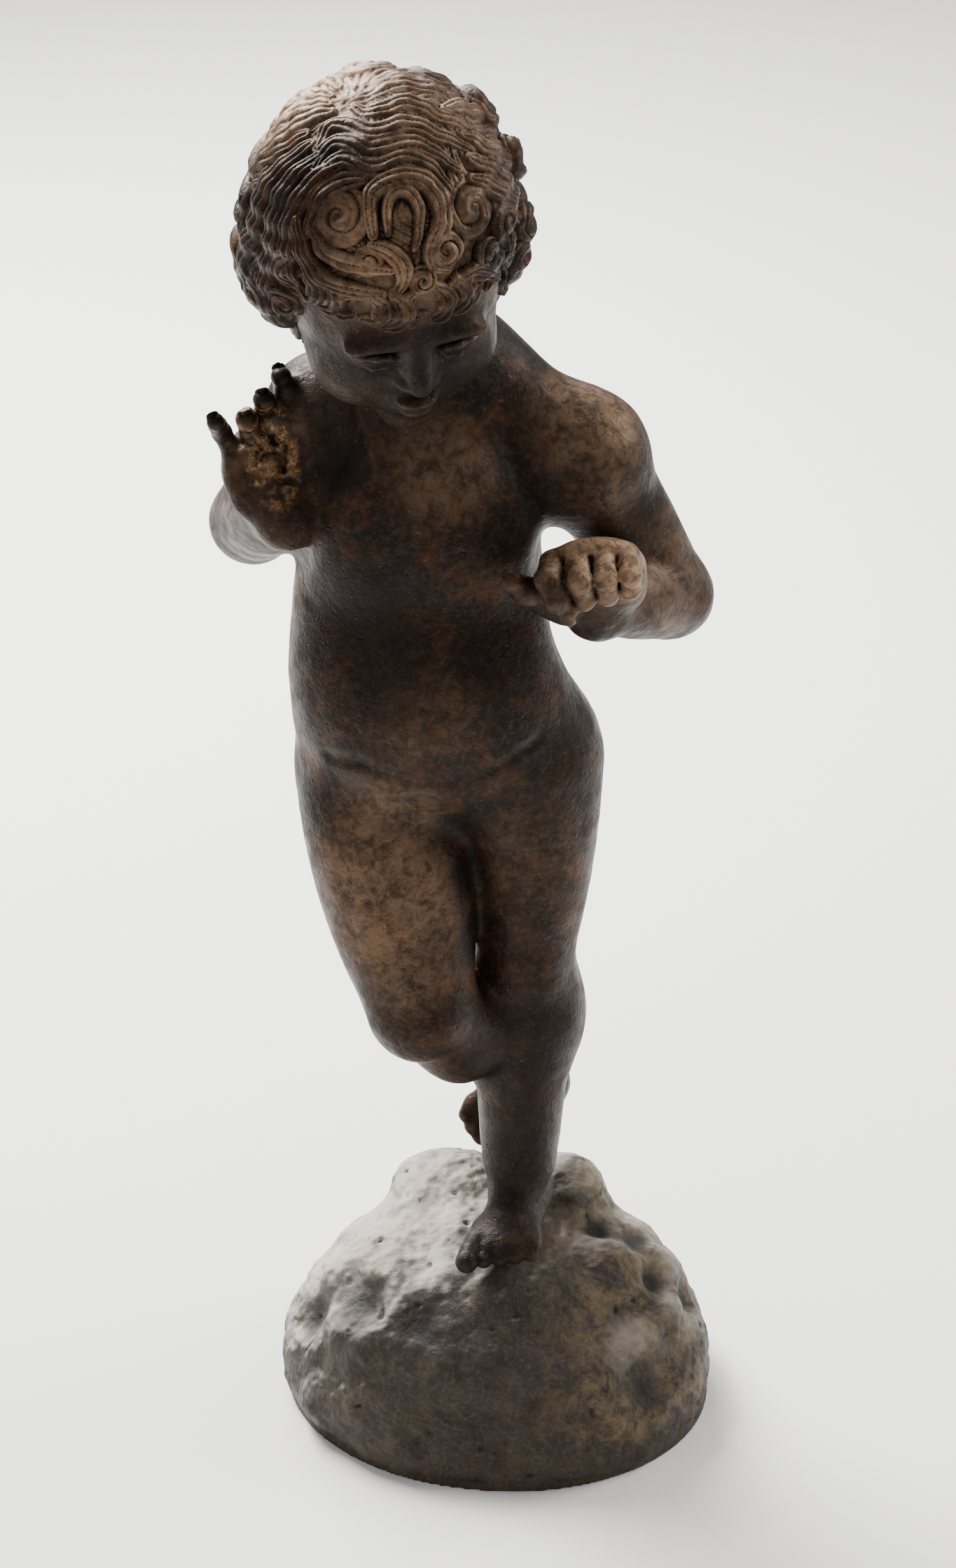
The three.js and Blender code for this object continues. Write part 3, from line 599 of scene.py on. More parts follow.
@dataclass(frozen=True)
class LeadPatinaAndPaintedLight:
    """Old cast lead: brown, with pale wear and painted highlights on the high places, painted shade and
    soot in the hollows, painted shade where parts lie in shadow, and lime in one palm.
    """

    # deep: the darkest patina tone, also laid as painted shade where the figure lies in shadow.
    deep: Colour = shade("15100d")
    brown: Colour = shade("241811")
    warm: Colour = shade("45270f")
    # The pale colour serves random pale mottling, wear and painted highlights.
    pale_wear_and_highlight: Colour = shade("9c7d63")
    # The near-black colour is painted shade and soot in the hollows.
    soot_and_shade: Colour = shade("060505")
    lime: Colour = shade("9a8462")
    rust: Colour = shade("7a4218")

    def material(self) -> bpy.types.Material:
        """The material; it reads the stored layers of hollows (painted shade and soot), ridges and rubbed
        places (wear and painted highlight), dark places (painted shade) and crust.
        """
        s = Shader("lead_patina_and_painted_light")
        colour = s.mix(s.ramp(s.noise(0.06, 6, 0.62, 0.3), 0.38, 0.64), self.deep, self.brown)
        warm = s.reckon("MULTIPLY", s.ramp(s.noise(0.022, 7, 0.68, 0.5), 0.46, 0.72), 0.65)
        colour = s.mix(warm, colour, self.warm)
        mottle = s.ramp(s.noise(0.0045, 6, 0.75, 0.3), 0.42, 0.72, 0.0, 0.08)
        colour = s.mix(mottle, colour, self.pale_wear_and_highlight)
        # Painted shade: the deep colour over places that lie in shadow, such as the face, the fingers,
        # the shins and between the legs.
        colour = s.mix(s.reckon("MULTIPLY", s.layer("dark"), 0.8), colour, self.deep)
        scuffs = s.ramp(s.noise(0.009, 7, 0.72, 0.4), 0.34, 0.62, 0.2, 1.0)
        # Pale wear and painted highlight on rubbed places and on ridges.
        high = s.reckon("ADD", s.layer("rub_and_highlight"), s.reckon("MULTIPLY", s.layer("ridge_wear_and_highlight"), 0.7))
        colour = s.mix(s.reckon("MULTIPLY", high, scuffs), colour, self.pale_wear_and_highlight)
        specks = s.ramp(s.noise(0.0019, 2, 0.5), 0.68, 0.78, 0.0, 0.22)
        colour = s.mix(specks, colour, self.pale_wear_and_highlight)
        # Painted shade and soot in the hollows.
        colour = s.mix(s.reckon("MULTIPLY", s.layer("hollow"), 0.9), colour, self.soot_and_shade)
        flakes = s.mix(s.ramp(s.noise(0.0026, 4, 0.65), 0.4, 0.6), self.rust, self.lime)
        flecks = s.reckon("MULTIPLY", s.layer("crust"), s.ramp(s.noise(0.004, 5, 0.72), 0.42, 0.56))
        colour = s.mix(flecks, colour, flakes)
        s.put(s.surface.inputs["Base Color"], colour)
        s.put(s.surface.inputs["Roughness"], s.ramp(s.noise(0.016, 5, 0.6), 0.35, 0.7, 0.38, 0.6))
        s.surface.inputs["Metallic"].default_value = 0.3
        s.surface.inputs["Specular IOR Level"].default_value = 0.12
        grain = s.bump(s.noise(0.0035, 4, 0.65), 0.0007)
        s.put(s.surface.inputs["Normal"], s.bump(s.ramp(s.spots(0.006), 0.0, 0.25), 0.0003, grain))
        return s.material


@dataclass(frozen=True)
class WeatheredRockAndPaintedLight:
    """The boulder's skin: granular brown-grey, with a painted glare on the tops, painted shade in the
    pits and dents, and lichen.
    """

    dark: Colour = shade("1c1510")
    stone: Colour = shade("30251b")
    # pale is the painted glare of the light from behind.
    pale: Colour = shade("b8aea3")
    lichen: Colour = shade("8f7850")
    grey: Colour = shade("5c5042")
    # The near-black is painted shade in pits, hollows and dents.
    pit_shade: Colour = shade("080605")

    def material(self) -> bpy.types.Material:
        """The material; it reads the stored layers of hollows (painted shade), glare on the upward faces
        (painted highlight) and lichen.
        """
        s = Shader("weathered_rock_and_painted_light")
        colour = s.mix(s.ramp(s.noise(0.035, 7, 0.68, 0.4), 0.36, 0.64), self.dark, self.stone)
        grains = s.ramp(s.noise(0.003, 5, 0.75), 0.46, 0.7, 0.0, 0.4)
        colour = s.mix(grains, colour, self.grey)
        # Painted glare on the upward faces.
        glare = s.reckon(
            "MULTIPLY", s.layer("glare"), s.ramp(s.noise(0.03, 8, 0.66, 0.3), 0.32, 0.6, 0.35, 1.0)
        )
        colour = s.mix(glare, colour, self.pale)
        green = s.reckon("MULTIPLY", s.layer("lichen"), s.ramp(s.noise(0.018, 8, 0.8, 0.5), 0.4, 0.66))
        colour = s.mix(s.reckon("MULTIPLY", green, 0.45), colour, self.lichen)
        # Painted shade in pits, hollows and dents.
        colour = s.mix(s.reckon("MULTIPLY", s.layer("hollow"), 0.9), colour, self.pit_shade)
        s.put(s.surface.inputs["Base Color"], colour)
        s.put(s.surface.inputs["Roughness"], s.ramp(s.noise(0.01, 4), 0.3, 0.7, 0.36, 0.6))
        s.surface.inputs["Specular IOR Level"].default_value = 0.3
        coarse = s.bump(s.noise(0.004, 6, 0.7), 0.0016)
        s.put(s.surface.inputs["Normal"], s.bump(s.noise(0.0012, 3, 0.7), 0.0005, coarse))
        return s.material


# The figure.

class Side(Enum):
    """A side of the figure, as the viewer sees it: the sign of X."""

    LEFT = -1
    RIGHT = 1


@dataclass(frozen=True)
class Foot:
    """A foot: the ankle over the origin, the toes along -Y, the sole at z = 0."""

    frame: Frame
    big_toe: Side
    toe_lift: float

    def form(self) -> Form:
        """The foot with its toes and nails."""
        inner = self.big_toe.value
        form = Form(9, self.frame)
        form.add(mass((0, 14, 22), (26, 28, 22)))
        form.add(Limb((0, 2, 50), (2 * inner, -34, 20), 27, 17), 14)
        form.add(mass((inner, -50, 13), (30, 28, 13), (8, 0, 0)), 12)
        form.add(Limb((-13 * inner, 6, 12), (-16 * inner, -48, 10), 12, 10), 10)
        toes, nails = Form(2.4), Form()
        for i in range(5):
            across = (24 - i * 12.4) * inner
            root = (across * 0.95, -64 + i * 3.6, 12 - i * 0.8)
            length = 24 if i == 0 else 21 - i * 2.4
            radius = 9.6 if i == 0 else 7.4 - i * 0.35
            middle = (across * 1.02, root[1] - length * 0.55, 11 + self.toe_lift * 0.5 - i * 0.6)
            tip = (across, root[1] - length, radius * 0.86 + self.toe_lift)
            toes.add(Limb(root, middle, radius * 0.96, radius * 0.84))
            toes.add(Limb(middle, tip, radius * 0.84, radius))
            nail = (tip[0], tip[1] - 0.25 * radius, tip[2] + 0.78 * radius)
            nails.add(mass(nail, (0.6 * radius, 0.62 * radius, 1.7), (24, 0, 0)))
        return form.add(toes, 7).add(nails, 0.7)


@dataclass(frozen=True)
class Hand:
    """A hand: the wrist at the origin, the fingers along +Y, the palm facing +Z."""

    frame: Frame
    size: float
    thumb_side: Side
    fingers: tuple[tuple[float, Vec], ...]
    thumb: tuple[Vec, ...]
    lengths: tuple[float, ...] = (53, 57, 53, 45)
    bones: Vec = (0.44, 0.31, 0.25)

    def finger(self, knuckle: Vec, splay: float, bends: Vec, length: float, radius: float) -> Form:
        """A finger that bends towards the palm, with a nail and a crease at each joint.

        Args:
            knuckle: where it starts.
            splay: degrees that it leans aside.
            bends: degrees that each bone bends.
            length: from knuckle to tip.
            radius: its thickness at the knuckle.

        Returns:
            The finger.
        """
        form, creases = Form(1.5), Form()
        point, bend, lean = np.array(knuckle, float), 0.0, math.radians(splay)
        for i, angle in enumerate(bends):
            bend += math.radians(angle)
            way = np.array([
                math.cos(bend) * math.sin(lean), math.cos(bend) * math.cos(lean), math.sin(bend)
            ])
            palm = np.array([
                -math.sin(bend) * math.sin(lean), -math.sin(bend) * math.cos(lean), math.cos(bend)
            ])
            across = np.cross(way, palm)
            end = point + length * self.bones[i] * way
            taper = 1 - i * 0.06
            form.add(Limb(point, end, radius * taper, radius * (taper - 0.05), -radius * 0.06))
            if i:
                fold = point + palm * radius * 1.02
                half = across * radius * 0.7
                creases.add(Limb(fold - half, fold + half, 0.9, 0.9))
            point = end
        nail = Frame.aimed(point - palm * radius * 0.72 + way * radius * 0.2, way, -palm)
        form.add(Mass(nail, (0.6 * radius, 0.8 * radius, 1.6)), 0.6)
        return form.cut(creases, 1.6)

    def form(self) -> Form:
        """The hand."""
        side = self.thumb_side.value
        form = Form(8, self.frame, self.size)
        form.add(Limb((0, -8, 0), (0, 24, -2), 24, 20))
        form.add(mass((0, 38, -4), (37, 33, 14)), 10)
        form.add(mass((24 * side, 22, 7), (17, 27, 15), (0, 0, -20 * side)), 9)
        form.add(mass((-22 * side, 26, 5), (15, 29, 13)), 9)
        for i, (splay, bends) in enumerate(self.fingers):
            knuckle = ((26 - i * 17.2) * side, 60 - abs(i - 1.2) * 3.6, -1)
            form.add(self.finger(knuckle, splay * side, bends, self.lengths[i], 9.6 - i * 0.4), 3.5)
        points = [(22 * side, 8, 6), *((x * side, y, z) for x, y, z in self.thumb)]
        for i in range(1, len(points)):
            form.add(Limb(points[i - 1], points[i], 12.4 - i * 1.1, 11.4 - i * 1.1), 5)
        form.cut(Limb((-14 * side, 56, 13), (20 * side, 46, 13), 1.0, 1.0), 3)
        form.cut(Limb((6 * side, 8, 17), (14 * side, 44, 15), 1.0, 1.0), 3)
        return form


@dataclass(frozen=True)
class Leg:
    """A leg, by its joints and its thickness."""

    hip: Vec
    knee: Vec
    ankle: Vec
    radii: Vec
    thigh: float
    belly: float
    calf: Vec
    cap: Vec
    lean: float

    def form(self) -> Form:
        """The leg from hip to ankle."""
        at_hip, at_knee, at_ankle = self.radii
        knee, ankle = np.array(self.knee, float), np.array(self.ankle, float)
        form = Form(24)
        form.add(Limb(self.hip, self.knee, at_hip, at_knee, self.thigh))
        form.add(Limb(self.knee, self.ankle, at_knee * 0.97, at_ankle, 4), 14)
        calf = tuple(knee + 0.3 * (ankle - knee) + self.calf)
        form.add(mass(calf, (self.belly, self.belly * 1.02, 52), (self.lean, 0, 0)), 26)
        return form.add(mass(tuple(knee + self.cap), (23, 15, 24)), 16)


@dataclass(frozen=True)
class Arm:
    """An arm, by its joints and its thickness."""

    shoulder: Vec
    elbow: Vec
    wrist: Vec
    girth: float

    def form(self) -> Form:
        """The arm from shoulder to wrist."""
        g = self.girth
        form = Form(20)
        form.add(mass(self.shoulder, (48 * g, 46 * g, 48 * g)))
        form.add(Limb(self.shoulder, self.elbow, 42 * g, 33 * g, 2))
        return form.add(Limb(self.elbow, self.wrist, 33 * g, 22 * g, 5), 12)


@dataclass(frozen=True)
class Torso:
    """The trunk, from shoulders to seat."""

    chest: Vec = (-78, 25, 640)
    waist: Vec = (-85, 20, 556)
    belly: Vec = (-74, -2, 502)
    pelvis: Vec = (-62, 22, 452)
    neck: Vec = (-58, 40, 752)

    def form(self, left: Arm, right: Arm) -> Form:
        """The trunk with its shoulders.

        Args:
            left: the arm on the viewer's left.
            right: the arm on the viewer's right.

        Returns:
            The trunk.
        """
        form = Form(44)
        x, y, z = self.chest
        form.add(mass((x, y, z - 10), (90, 68, 126), (-4, 0, 0)))
        form.add(mass(self.waist, (94, 72, 100)))
        form.add(mass(self.belly, (104, 74, 84)))
        form.add(mass(self.pelvis, (114, 70, 72), (0, -8, 0)))
        form.add(Limb(left.shoulder, (-100, 36, 742), 40, 46), 40)
        form.add(Limb(right.shoulder, (-42, 40, 766), 38, 42), 40)
        form.add(Limb((-70, 32, 726), self.neck, 50, 46), 40)
        for side in (-1, 1):
            form.add(mass((-78 + side * 36, -20, 664), (42, 26, 44), (0, 0, side * 12)), 44)
            form.add(mass((-64 + side * 52, 58, 432 + side * 8), (54, 50, 56)), 20)
            form.add(mass((-70 + side * 46, 60, 680), (36, 26, 50)), 34)
        form.cut(Limb((-74, 104, 700), (-70, 100, 500), 4, 4), 22)
        form.cut(Limb((-62, 122, 450), (-56, 86, 380), 3, 5), 16)
        return form.cut(mass((-76, -84, 534), (6, 9, 5)), 6)


@dataclass(frozen=True)
class Head:
    """The head, in its own frame: the face along -Y, centred on the skull."""

    centre: Vec = (-101, -28, 896)
    turn: Vec = (30, -5, 14)
    size: float = 1.07

    def frame(self) -> Frame:
        """The head's frame in the figure."""
        return Frame.turned(self.centre, self.turn)

    def skull(self) -> Form:
        """The bare head with a child's calm, lowered face."""
        form = Form(20)
        form.add(mass((0, 12, 8), (84, 94, 88)))
        form.add(mass((0, -28, -44), (62, 58, 70)), 30)
        for side in (-1, 1):
            form.add(mass((side * 34, -52, -54), (29, 27, 29)), 18)
            form.add(mass((side * 26, -79, -1), (24, 10, 8), (0, side * 8, 0)), 12)
        form.add(mass((0, -66, -98), (20, 17, 16)), 16)
        form.add(mass((0, -76, -68), (19, 13, 17)), 14)
        for side in (-1, 1):
            form.cut(mass((side * 28, -90, -16), (17, 13, 10)), 12)
            form.add(mass((side * 28, -74, -17), (15, 10, 10)), 4)
        form.add(Limb((0, -80, -6), (0, -94, -36), 7, 9), 9)
        for side in (-1, 1):
            form.add(mass((side * 9, -87, -39), (7, 8, 6)), 5)
            form.cut(mass((side * 5, -92, -45), (2.4, 3.4, 2)), 2)
            self.add_lids(form, side)
        form.add(mass((0, -90, -60), (14, 7, 5)), 4)
        form.add(mass((0, -88, -71), (11, 7, 6)), 4)
        form.cut(Limb((-13, -94, -65), (0, -98, -66), 0.9, 1.3), 2)
        form.cut(Limb((13, -94, -65), (0, -98, -66), 0.9, 1.3), 2)
        return form.cut(Limb((0, -99, -50), (0, -98, -56), 1.6, 2), 3)

    def add_lids(self, form: Form, side: int) -> None:
        """Adds one eye's upper and lower lid to a face."""
        upper = [(14, -81, -17), (21, -85, -11.5), (29, -85.5, -10), (38, -80, -13), (42, -75, -17)]
        lower = [(14, -81, -18), (22, -83, -24), (31, -82.5, -25), (41, -75, -19)]
        for lid, thickness in ((upper, 2.6), (lower, 1.7)):
            for (xa, ya, za), (xb, yb, zb) in zip(lid, lid[1:]):
                form.add(Limb((side * xa, ya, za), (side * xb, yb, zb), thickness, thickness), 2)


@dataclass
class Figure:
    """The cast child, from its sole to its hair."""

    height: float = 0.755
    foothold: Vec = (0.01344, 0.00472, 0.131)
    torso: Torso = Torso()
    head: Head = Head()
    right_arm: Arm = Arm((46, 28, 702), (117, 52, 568), (56, -40, 608), 1.0)
    left_arm: Arm = Arm((-150, 40, 730), (-216, 104, 608), (-186, -14, 674), 0.98)
    standing: Leg = Leg(
        (4, 16, 436), (4, 2, 258), (0, 0, 66), (62, 38, 32), 5, 37, (14, 12, 0), (-2, -16, 2), 2
    )
    free: Leg = Leg(
        (-120, 12, 426), (-81, -57, 250), (-6, 84, 112), (62, 43, 28),
        10, 36, (10, 4, -2), (-2, -16, -8), -46,
    )
    box: tuple[Vec, Vec] = ((-270, -200, -10), (190, 190, 1010))
    cell: float = 1.75
    triangles: int = 190_000

    # Soft folds, each with its points, its radius and its blend; and the round spots, each with its
    # centre, radius and strength, that are painted pale, as wear and painted highlight, and dark, as
    # painted shade.
    FOLDS = (
        (((-152, -51, 475), (-128, -66, 477), (-92, -75, 467), (-62, -75, 458)), 0.8, 12),
        (((-54, -74, 458), (-26, -69, 471), (-4, -62, 482), (14, -50, 492)), 1.0, 9),
    )
    WORN_AND_LIT_SPOTS = (
        ((55, -3, 743), 70, 0.5), ((117, 4, 603), 75, 0.35), ((70, -70, 672), 80, 1.4),
        ((-112, -78, 360), 90, 0.6), ((-93, -94, 298), 50, 0.4), ((-60, -45, 720), 60, 0.35),
        ((-150, 10, 990), 95, 0.9), ((-60, -60, 990), 90, 0.5), ((-90, -120, 930), 80, 0.9),
        ((-214, -24, 660), 55, 0.15), ((-150, 20, 745), 50, 0.5), ((-198, 2, 717), 34, 0.7),
        ((-70, -76, 520), 60, 0.2), ((11, -47, 383), 70, 0.15), ((-105, -60, 420), 60, 0.5),
    )
    SHADED_SPOTS = (
        ((-125, -51, 610), 75, 0.9), ((-103, -69, 548), 60, 0.6), ((6, -38, 190), 90, 0.8),
        ((6, -38, 100), 60, 0.8), ((40, -20, 470), 80, 0.6), ((80, 0, 650), 55, 0.6),
        ((20, 0, 640), 60, 0.7), ((-70, -110, 820), 90, 0.8), ((-60, 120, 130), 120, 0.7),
        ((-30, -40, 560), 60, 0.5), ((60, -60, 610), 40, 0.7), ((-214, -24, 640), 70, 0.6),
        ((-15, -40, 30), 80, 0.8), ((-25, -85, 10), 50, 0.9),
        ((-53, -46, 409), 30, 1.0), ((-45, -44, 365), 30, 1.0), ((-38, -50, 312), 30, 1.0),
    )

    def standing_foot(self) -> Form:
        """The foot on the boulder, turned a little outward."""
        return Foot(Frame.turned((0, 0, 0), (0, 0, -14)), Side.LEFT, 0).form()

    def closed_hand(self) -> Hand:
        """The hand that is closed at the side."""
        frame = Frame.aimed(self.right_arm.wrist, (-0.1, -0.52, 0.85), (0.1, -0.85, -0.52))
        fingers = ((24, (58, 74, 44)), (4, (76, 92, 56)), (0, (78, 92, 54)), (-4, (80, 92, 52)))
        return Hand(frame, 1.1, Side.LEFT, fingers, ((36, 22, 6), (48, 40, 8), (55, 54, 8)))

    def open_hand(self) -> Hand:
        """The raised hand, open under the lowered eyes."""
        frame = Frame.aimed(self.left_arm.wrist, (-0.25, 0.48, 0.84), (0, -0.87, 0.49))
        fingers = ((0, (25, 20, 15)), (2, (45, 35, 10)), (4, (55, 35, 10)), (-14, (42, 30, 10)))
        return Hand(frame, 1.0, Side.RIGHT, fingers, ((34, 16, 10), (42, 36, 16), (45, 57, 18)))

    def form(self) -> Form:
        """The whole child without its hair."""
        form = Form(12)
        form.add(self.torso.form(self.left_arm, self.right_arm))
        form.add(self.standing.form(), 26)
        form.add(self.free.form(), 14)
        form.add(self.standing_foot(), 10)
        form.add(Foot(Frame.turned((2, 98, 92), (78, 34, 10)), Side.RIGHT, 8).form(), 10)
        form.add(self.right_arm.form(), 24)
        form.add(self.left_arm.form(), 20)
        form.add(Limb(self.torso.neck, (-96, 4, 862), 46, 44), 26)
        form.add(self.closed_hand().form(), 10)
        form.add(self.open_hand().form(), 10)
        for fold, radius, blend in self.FOLDS:
            for start, end in zip(fold, fold[1:]):
                form.cut(Limb(start, end, radius, radius), blend)
        head = Form(6, self.head.frame(), self.head.size)
        return form.add(head.add(self.head.skull()), 10)

    def to_metres(self, points: np.ndarray) -> np.ndarray:
        """Thousandths of the figure turned into places in metres."""
        return points * self.height / 1000 + np.array(self.foothold)[:, None]

    def to_thousandths(self, points: np.ndarray) -> np.ndarray:
        """Places in metres turned into thousandths of the figure."""
        return (points - np.array(self.foothold)[:, None]) * 1000 / self.height

    def build(self) -> bpy.types.Object:
        """The body as one smooth piece, with the small unevenness of a casting."""
        grid = Grid(*self.box, self.cell)
        points, quads = grid.skin(self.form())
        body = new_piece("putto_body", self.to_metres(points), quads)
        thinned(body, self.triangles)
        grain, places = Grain(7), mesh_points(body.data) * 1000
        uneven = 0.25 * grain.rough(places, 16, 2) + 0.12 * grain.layer(places, 4)
        crust = self.crust(places)
        displaced(body.data, (uneven + crust * (0.8 + 0.7 * grain.layer(places, 3))) * MILLIMETRE)
        return body

    def crust(self, places: np.ndarray) -> np.ndarray:
        """How thick the limy crust is in the open palm, 0 to 1.

        Args:
            places: points in millimetres.

        Returns:
            A share for each point.
        """
        grain = Grain(11)
        local = self.open_hand().frame.inward(self.to_thousandths(places * MILLIMETRE))
        off = ((local[0] - 2) / 24) ** 2 + ((local[1] - 46) / 52) ** 2
        flakes = fade(grain.rough(places, 6, 3), -0.35, 0.25)
        return (1 - fade(off, 0.3, 1.1)) * fade(local[2], 1, 6) * (1 - fade(local[2], 40, 56)) * flakes

    def near_any(self, figure: np.ndarray, spots: tuple[tuple[Vec, float, float], ...]) -> np.ndarray:
        """How near each point is to any of some soft round spots, 0 to 1.

        Args:
            figure: points in thousandths of the figure.
            spots: each spot's centre, radius and strength.

        Returns:
            A share for each point.
        """
        most = np.zeros(figure.shape[1])
        for centre, radius, amount in spots:
            off = np.sqrt(((figure - np.array(centre)[:, None]) ** 2).sum(0))
            most = np.maximum(most, amount * (1 - fade(off, 0.3 * radius, radius)))
        return most

    def shaded_fingers(self, figure: np.ndarray) -> np.ndarray:
        """How far each point lies out along the fingers or the thumb of the open hand, 0 to 1: where they
        get painted shade.
        """
        across, along, up = self.open_hand().frame.inward(figure)
        held = (np.abs(along - 60) < 60) & (np.abs(across) < 75) & (np.abs(up - 20) < 60)
        return held * np.maximum(fade(along, 62, 74), fade(across, 30, 38))

    def weather_and_paint_light(self, piece: bpy.types.Object, depth: float) -> None:
        """Stores where a lead piece takes painted shade and soot in its hollows, pale wear and painted
        highlight on its ridges and rubbed places, painted shade where it lies in shadow, and crust.

        Args:
            piece: the piece.
            depth: how deep in millimetres a hollow is that gets quite dark with painted shade and soot.
        """
        mesh = piece.data
        places = mesh_points(mesh) * 1000
        near, wide = (hollows(mesh, rounds) * 1000 for rounds in (4, 30))
        figure = self.to_thousandths(mesh_points(mesh))
        rub_and_highlight = self.near_any(figure, self.WORN_AND_LIT_SPOTS)
        # Painted shade where the figure lies in shadow.
        dark = np.maximum(self.near_any(figure, self.SHADED_SPOTS), self.shaded_fingers(figure))
        up = np.clip(mesh_normals(mesh)[2], 0, 1)
        # Painted shade and soot in small and wide hollows and between parts.
        hollow = fade(near, 0.15 * depth, 0.7 * depth) + fade(wide, 0.5 * depth, 2.5 * depth)
        # Ridges painted lighter, most where they face up: partly worn edges, partly painted highlight.
        ridge_wear_and_highlight = fade(-near, 0.1 * depth, 0.6 * depth) * (0.4 + 0.6 * up) * (1 - 0.9 * dark)
        set_layer(mesh, "hollow", hollow)
        set_layer(mesh, "ridge_wear_and_highlight", ridge_wear_and_highlight)
        # Pale wear and painted highlight on rubbed places, most where they face up.
        set_layer(mesh, "rub_and_highlight", rub_and_highlight * (0.5 + 0.5 * up) * (1 - np.clip(hollow, 0, 1)) * (1 - 0.7 * dark))
        set_layer(mesh, "dark", dark)
        set_layer(mesh, "crust", 1.3 * self.crust(places))


# The hair.

def on_head(places: np.ndarray) -> np.ndarray:
    """Unit directions of places on the head.

    Args:
        places: degrees round the head, 0 in front and + to the viewer's right, and degrees above
            its middle, as two rows.

    Returns:
        Directions as three rows.
    """
    a, e = np.radians(places)
    return np.stack([np.sin(a) * np.cos(e), -np.cos(a) * np.cos(e), np.sin(e)])


def toward(place: Place) -> np.ndarray:
    """The unit direction of one place on the head."""
    return on_head(np.array(place)[:, None])[:, 0]


def smooth_path(points: np.ndarray, steps: int) -> np.ndarray:
    """A path through points, given and returned as rows, with steps between each two."""
    ends = [2 * points[0] - points[1], *points, 2 * points[-1] - points[-2]]
    path = []
    for p, q, r, s in zip(ends, ends[1:], ends[2:], ends[3:]):
        for t in np.arange(steps) / steps:
            path.append(0.5 * (
                2 * q + (r - p) * t + (2 * p - 5 * q + 4 * r - s) * t**2 + (3 * q - p - 3 * r + s) * t**3
            ))
    return np.array([*path, points[-1]])


def cord(share: np.ndarray) -> np.ndarray:
    """The round back of a strand, 0 at its edges and 1 in its middle, for each whole number of share."""
    part = 2 * (share - np.floor(share)) - 1
    return np.sqrt(np.maximum(1 - part * part, 0))


@dataclass(frozen=True)
class Lock:
    """A lock of hair laid through places on the head, each (round, above) in degrees.

    The width is half its breadth in degrees, and proud is how high its back stands in thousandths.
    """

    places: tuple[Place, ...]
    width: float
    proud: float = 4.0
    strands: int = 4
    groove: float = 2.2
    seed: float = 0.0

    def raised(self, directions: np.ndarray) -> tuple[np.ndarray, np.ndarray]:
        """Where and how high the lock stands.

        Args:
            directions: unit directions on the head as three rows.

        Returns:
            The numbers of the directions under the lock, and its height at each.
        """
        rows = on_head(np.array(self.places, float).T).T
        path = smooth_path(rows, 6)
        path /= np.linalg.norm(path, axis=1)[:, None]
        middle = path.mean(0)
        spread = np.degrees(np.linalg.norm(path - middle, axis=1).max()) + self.width
        under = np.flatnonzero(np.degrees(np.linalg.norm(directions - middle[:, None], axis=0)) < spread)
        here = directions[:, under]
        nearest = np.full(len(under), 1e6)
        along, across = np.zeros(len(under)), np.zeros(len(under))
        for i, (start, end) in enumerate(zip(path, path[1:])):
            way = end - start
            off = here - start[:, None]
            t = np.clip(way @ off / (way @ way), 0, 1)
            off = off - way[:, None] * t
            far = np.degrees(np.sqrt((off * off).sum(0)))
            closer = far < nearest
            nearest = np.where(closer, far, nearest)
            along = np.where(closer, (i + t) / (len(path) - 1), along)
            side = np.sign(np.cross(way, start) @ off)
            across = np.where(closer, far * side, across)
        taper = np.sin(math.pi * (0.1 + 0.84 * along)) ** 0.55
        share = across / (self.width * taper)
        inside = np.abs(share) < 1
        under, along, share, taper = under[inside], along[inside], share[inside], taper[inside]
        dome = np.sqrt(1 - share * share)
        sway = 0.1 * np.sin(7 * along + 5 * self.seed) * (1 - share * share)
        strands = cord((share + sway + 1) / 2 * self.strands)
        height = -1.5 + (0.95 * self.proud + 1.5) * dome**0.6 * (0.6 + 0.4 * taper)
        return under, height - self.groove * (1 - strands)


@dataclass(frozen=True)
class Curl:
    """A curl that winds in on itself about a place on the head; its size is its radius in degrees."""

    round: float
    above: float
    size: float
    hand: int = 1
    start: float = 0.0
    proud: float = 6.0
    turns: float = 1.7

    def raised(self, directions: np.ndarray) -> tuple[np.ndarray, np.ndarray]:
        """Where and how high the curl stands.

        Args:
            directions: unit directions on the head as three rows.

        Returns:
            The numbers of the directions under the curl, and its height at each.
        """
        middle = toward((self.round, self.above))
        east = np.cross([0, 0, 1], middle)
        east /= -np.linalg.norm(east)
        north = np.cross(middle, east)
        x, y = np.degrees(east @ directions), np.degrees(north @ directions)
        reach = np.hypot(x, y) / self.size
        under = np.flatnonzero((reach < 1) & (middle @ directions > 0))
        x, y, reach = x[under], y[under], reach[under]
        angle = np.arctan2(y, x) / (2 * math.pi) - self.start / 360
        wind = reach**0.85 * self.turns - self.hand * angle
        band = cord(wind)
        fine = cord(wind * 3)
        dome = np.sqrt(1 - reach * reach)
        height = -2 + (self.proud + 2) * dome**0.6 - 3.4 * (1 - band) * fade(reach, 0.0, 0.25)
        height -= 0.9 * (1 - fine) * fade(reach, 0.15, 0.4)
        return under, height - 2.5 * np.exp(-((reach / 0.16) ** 2))


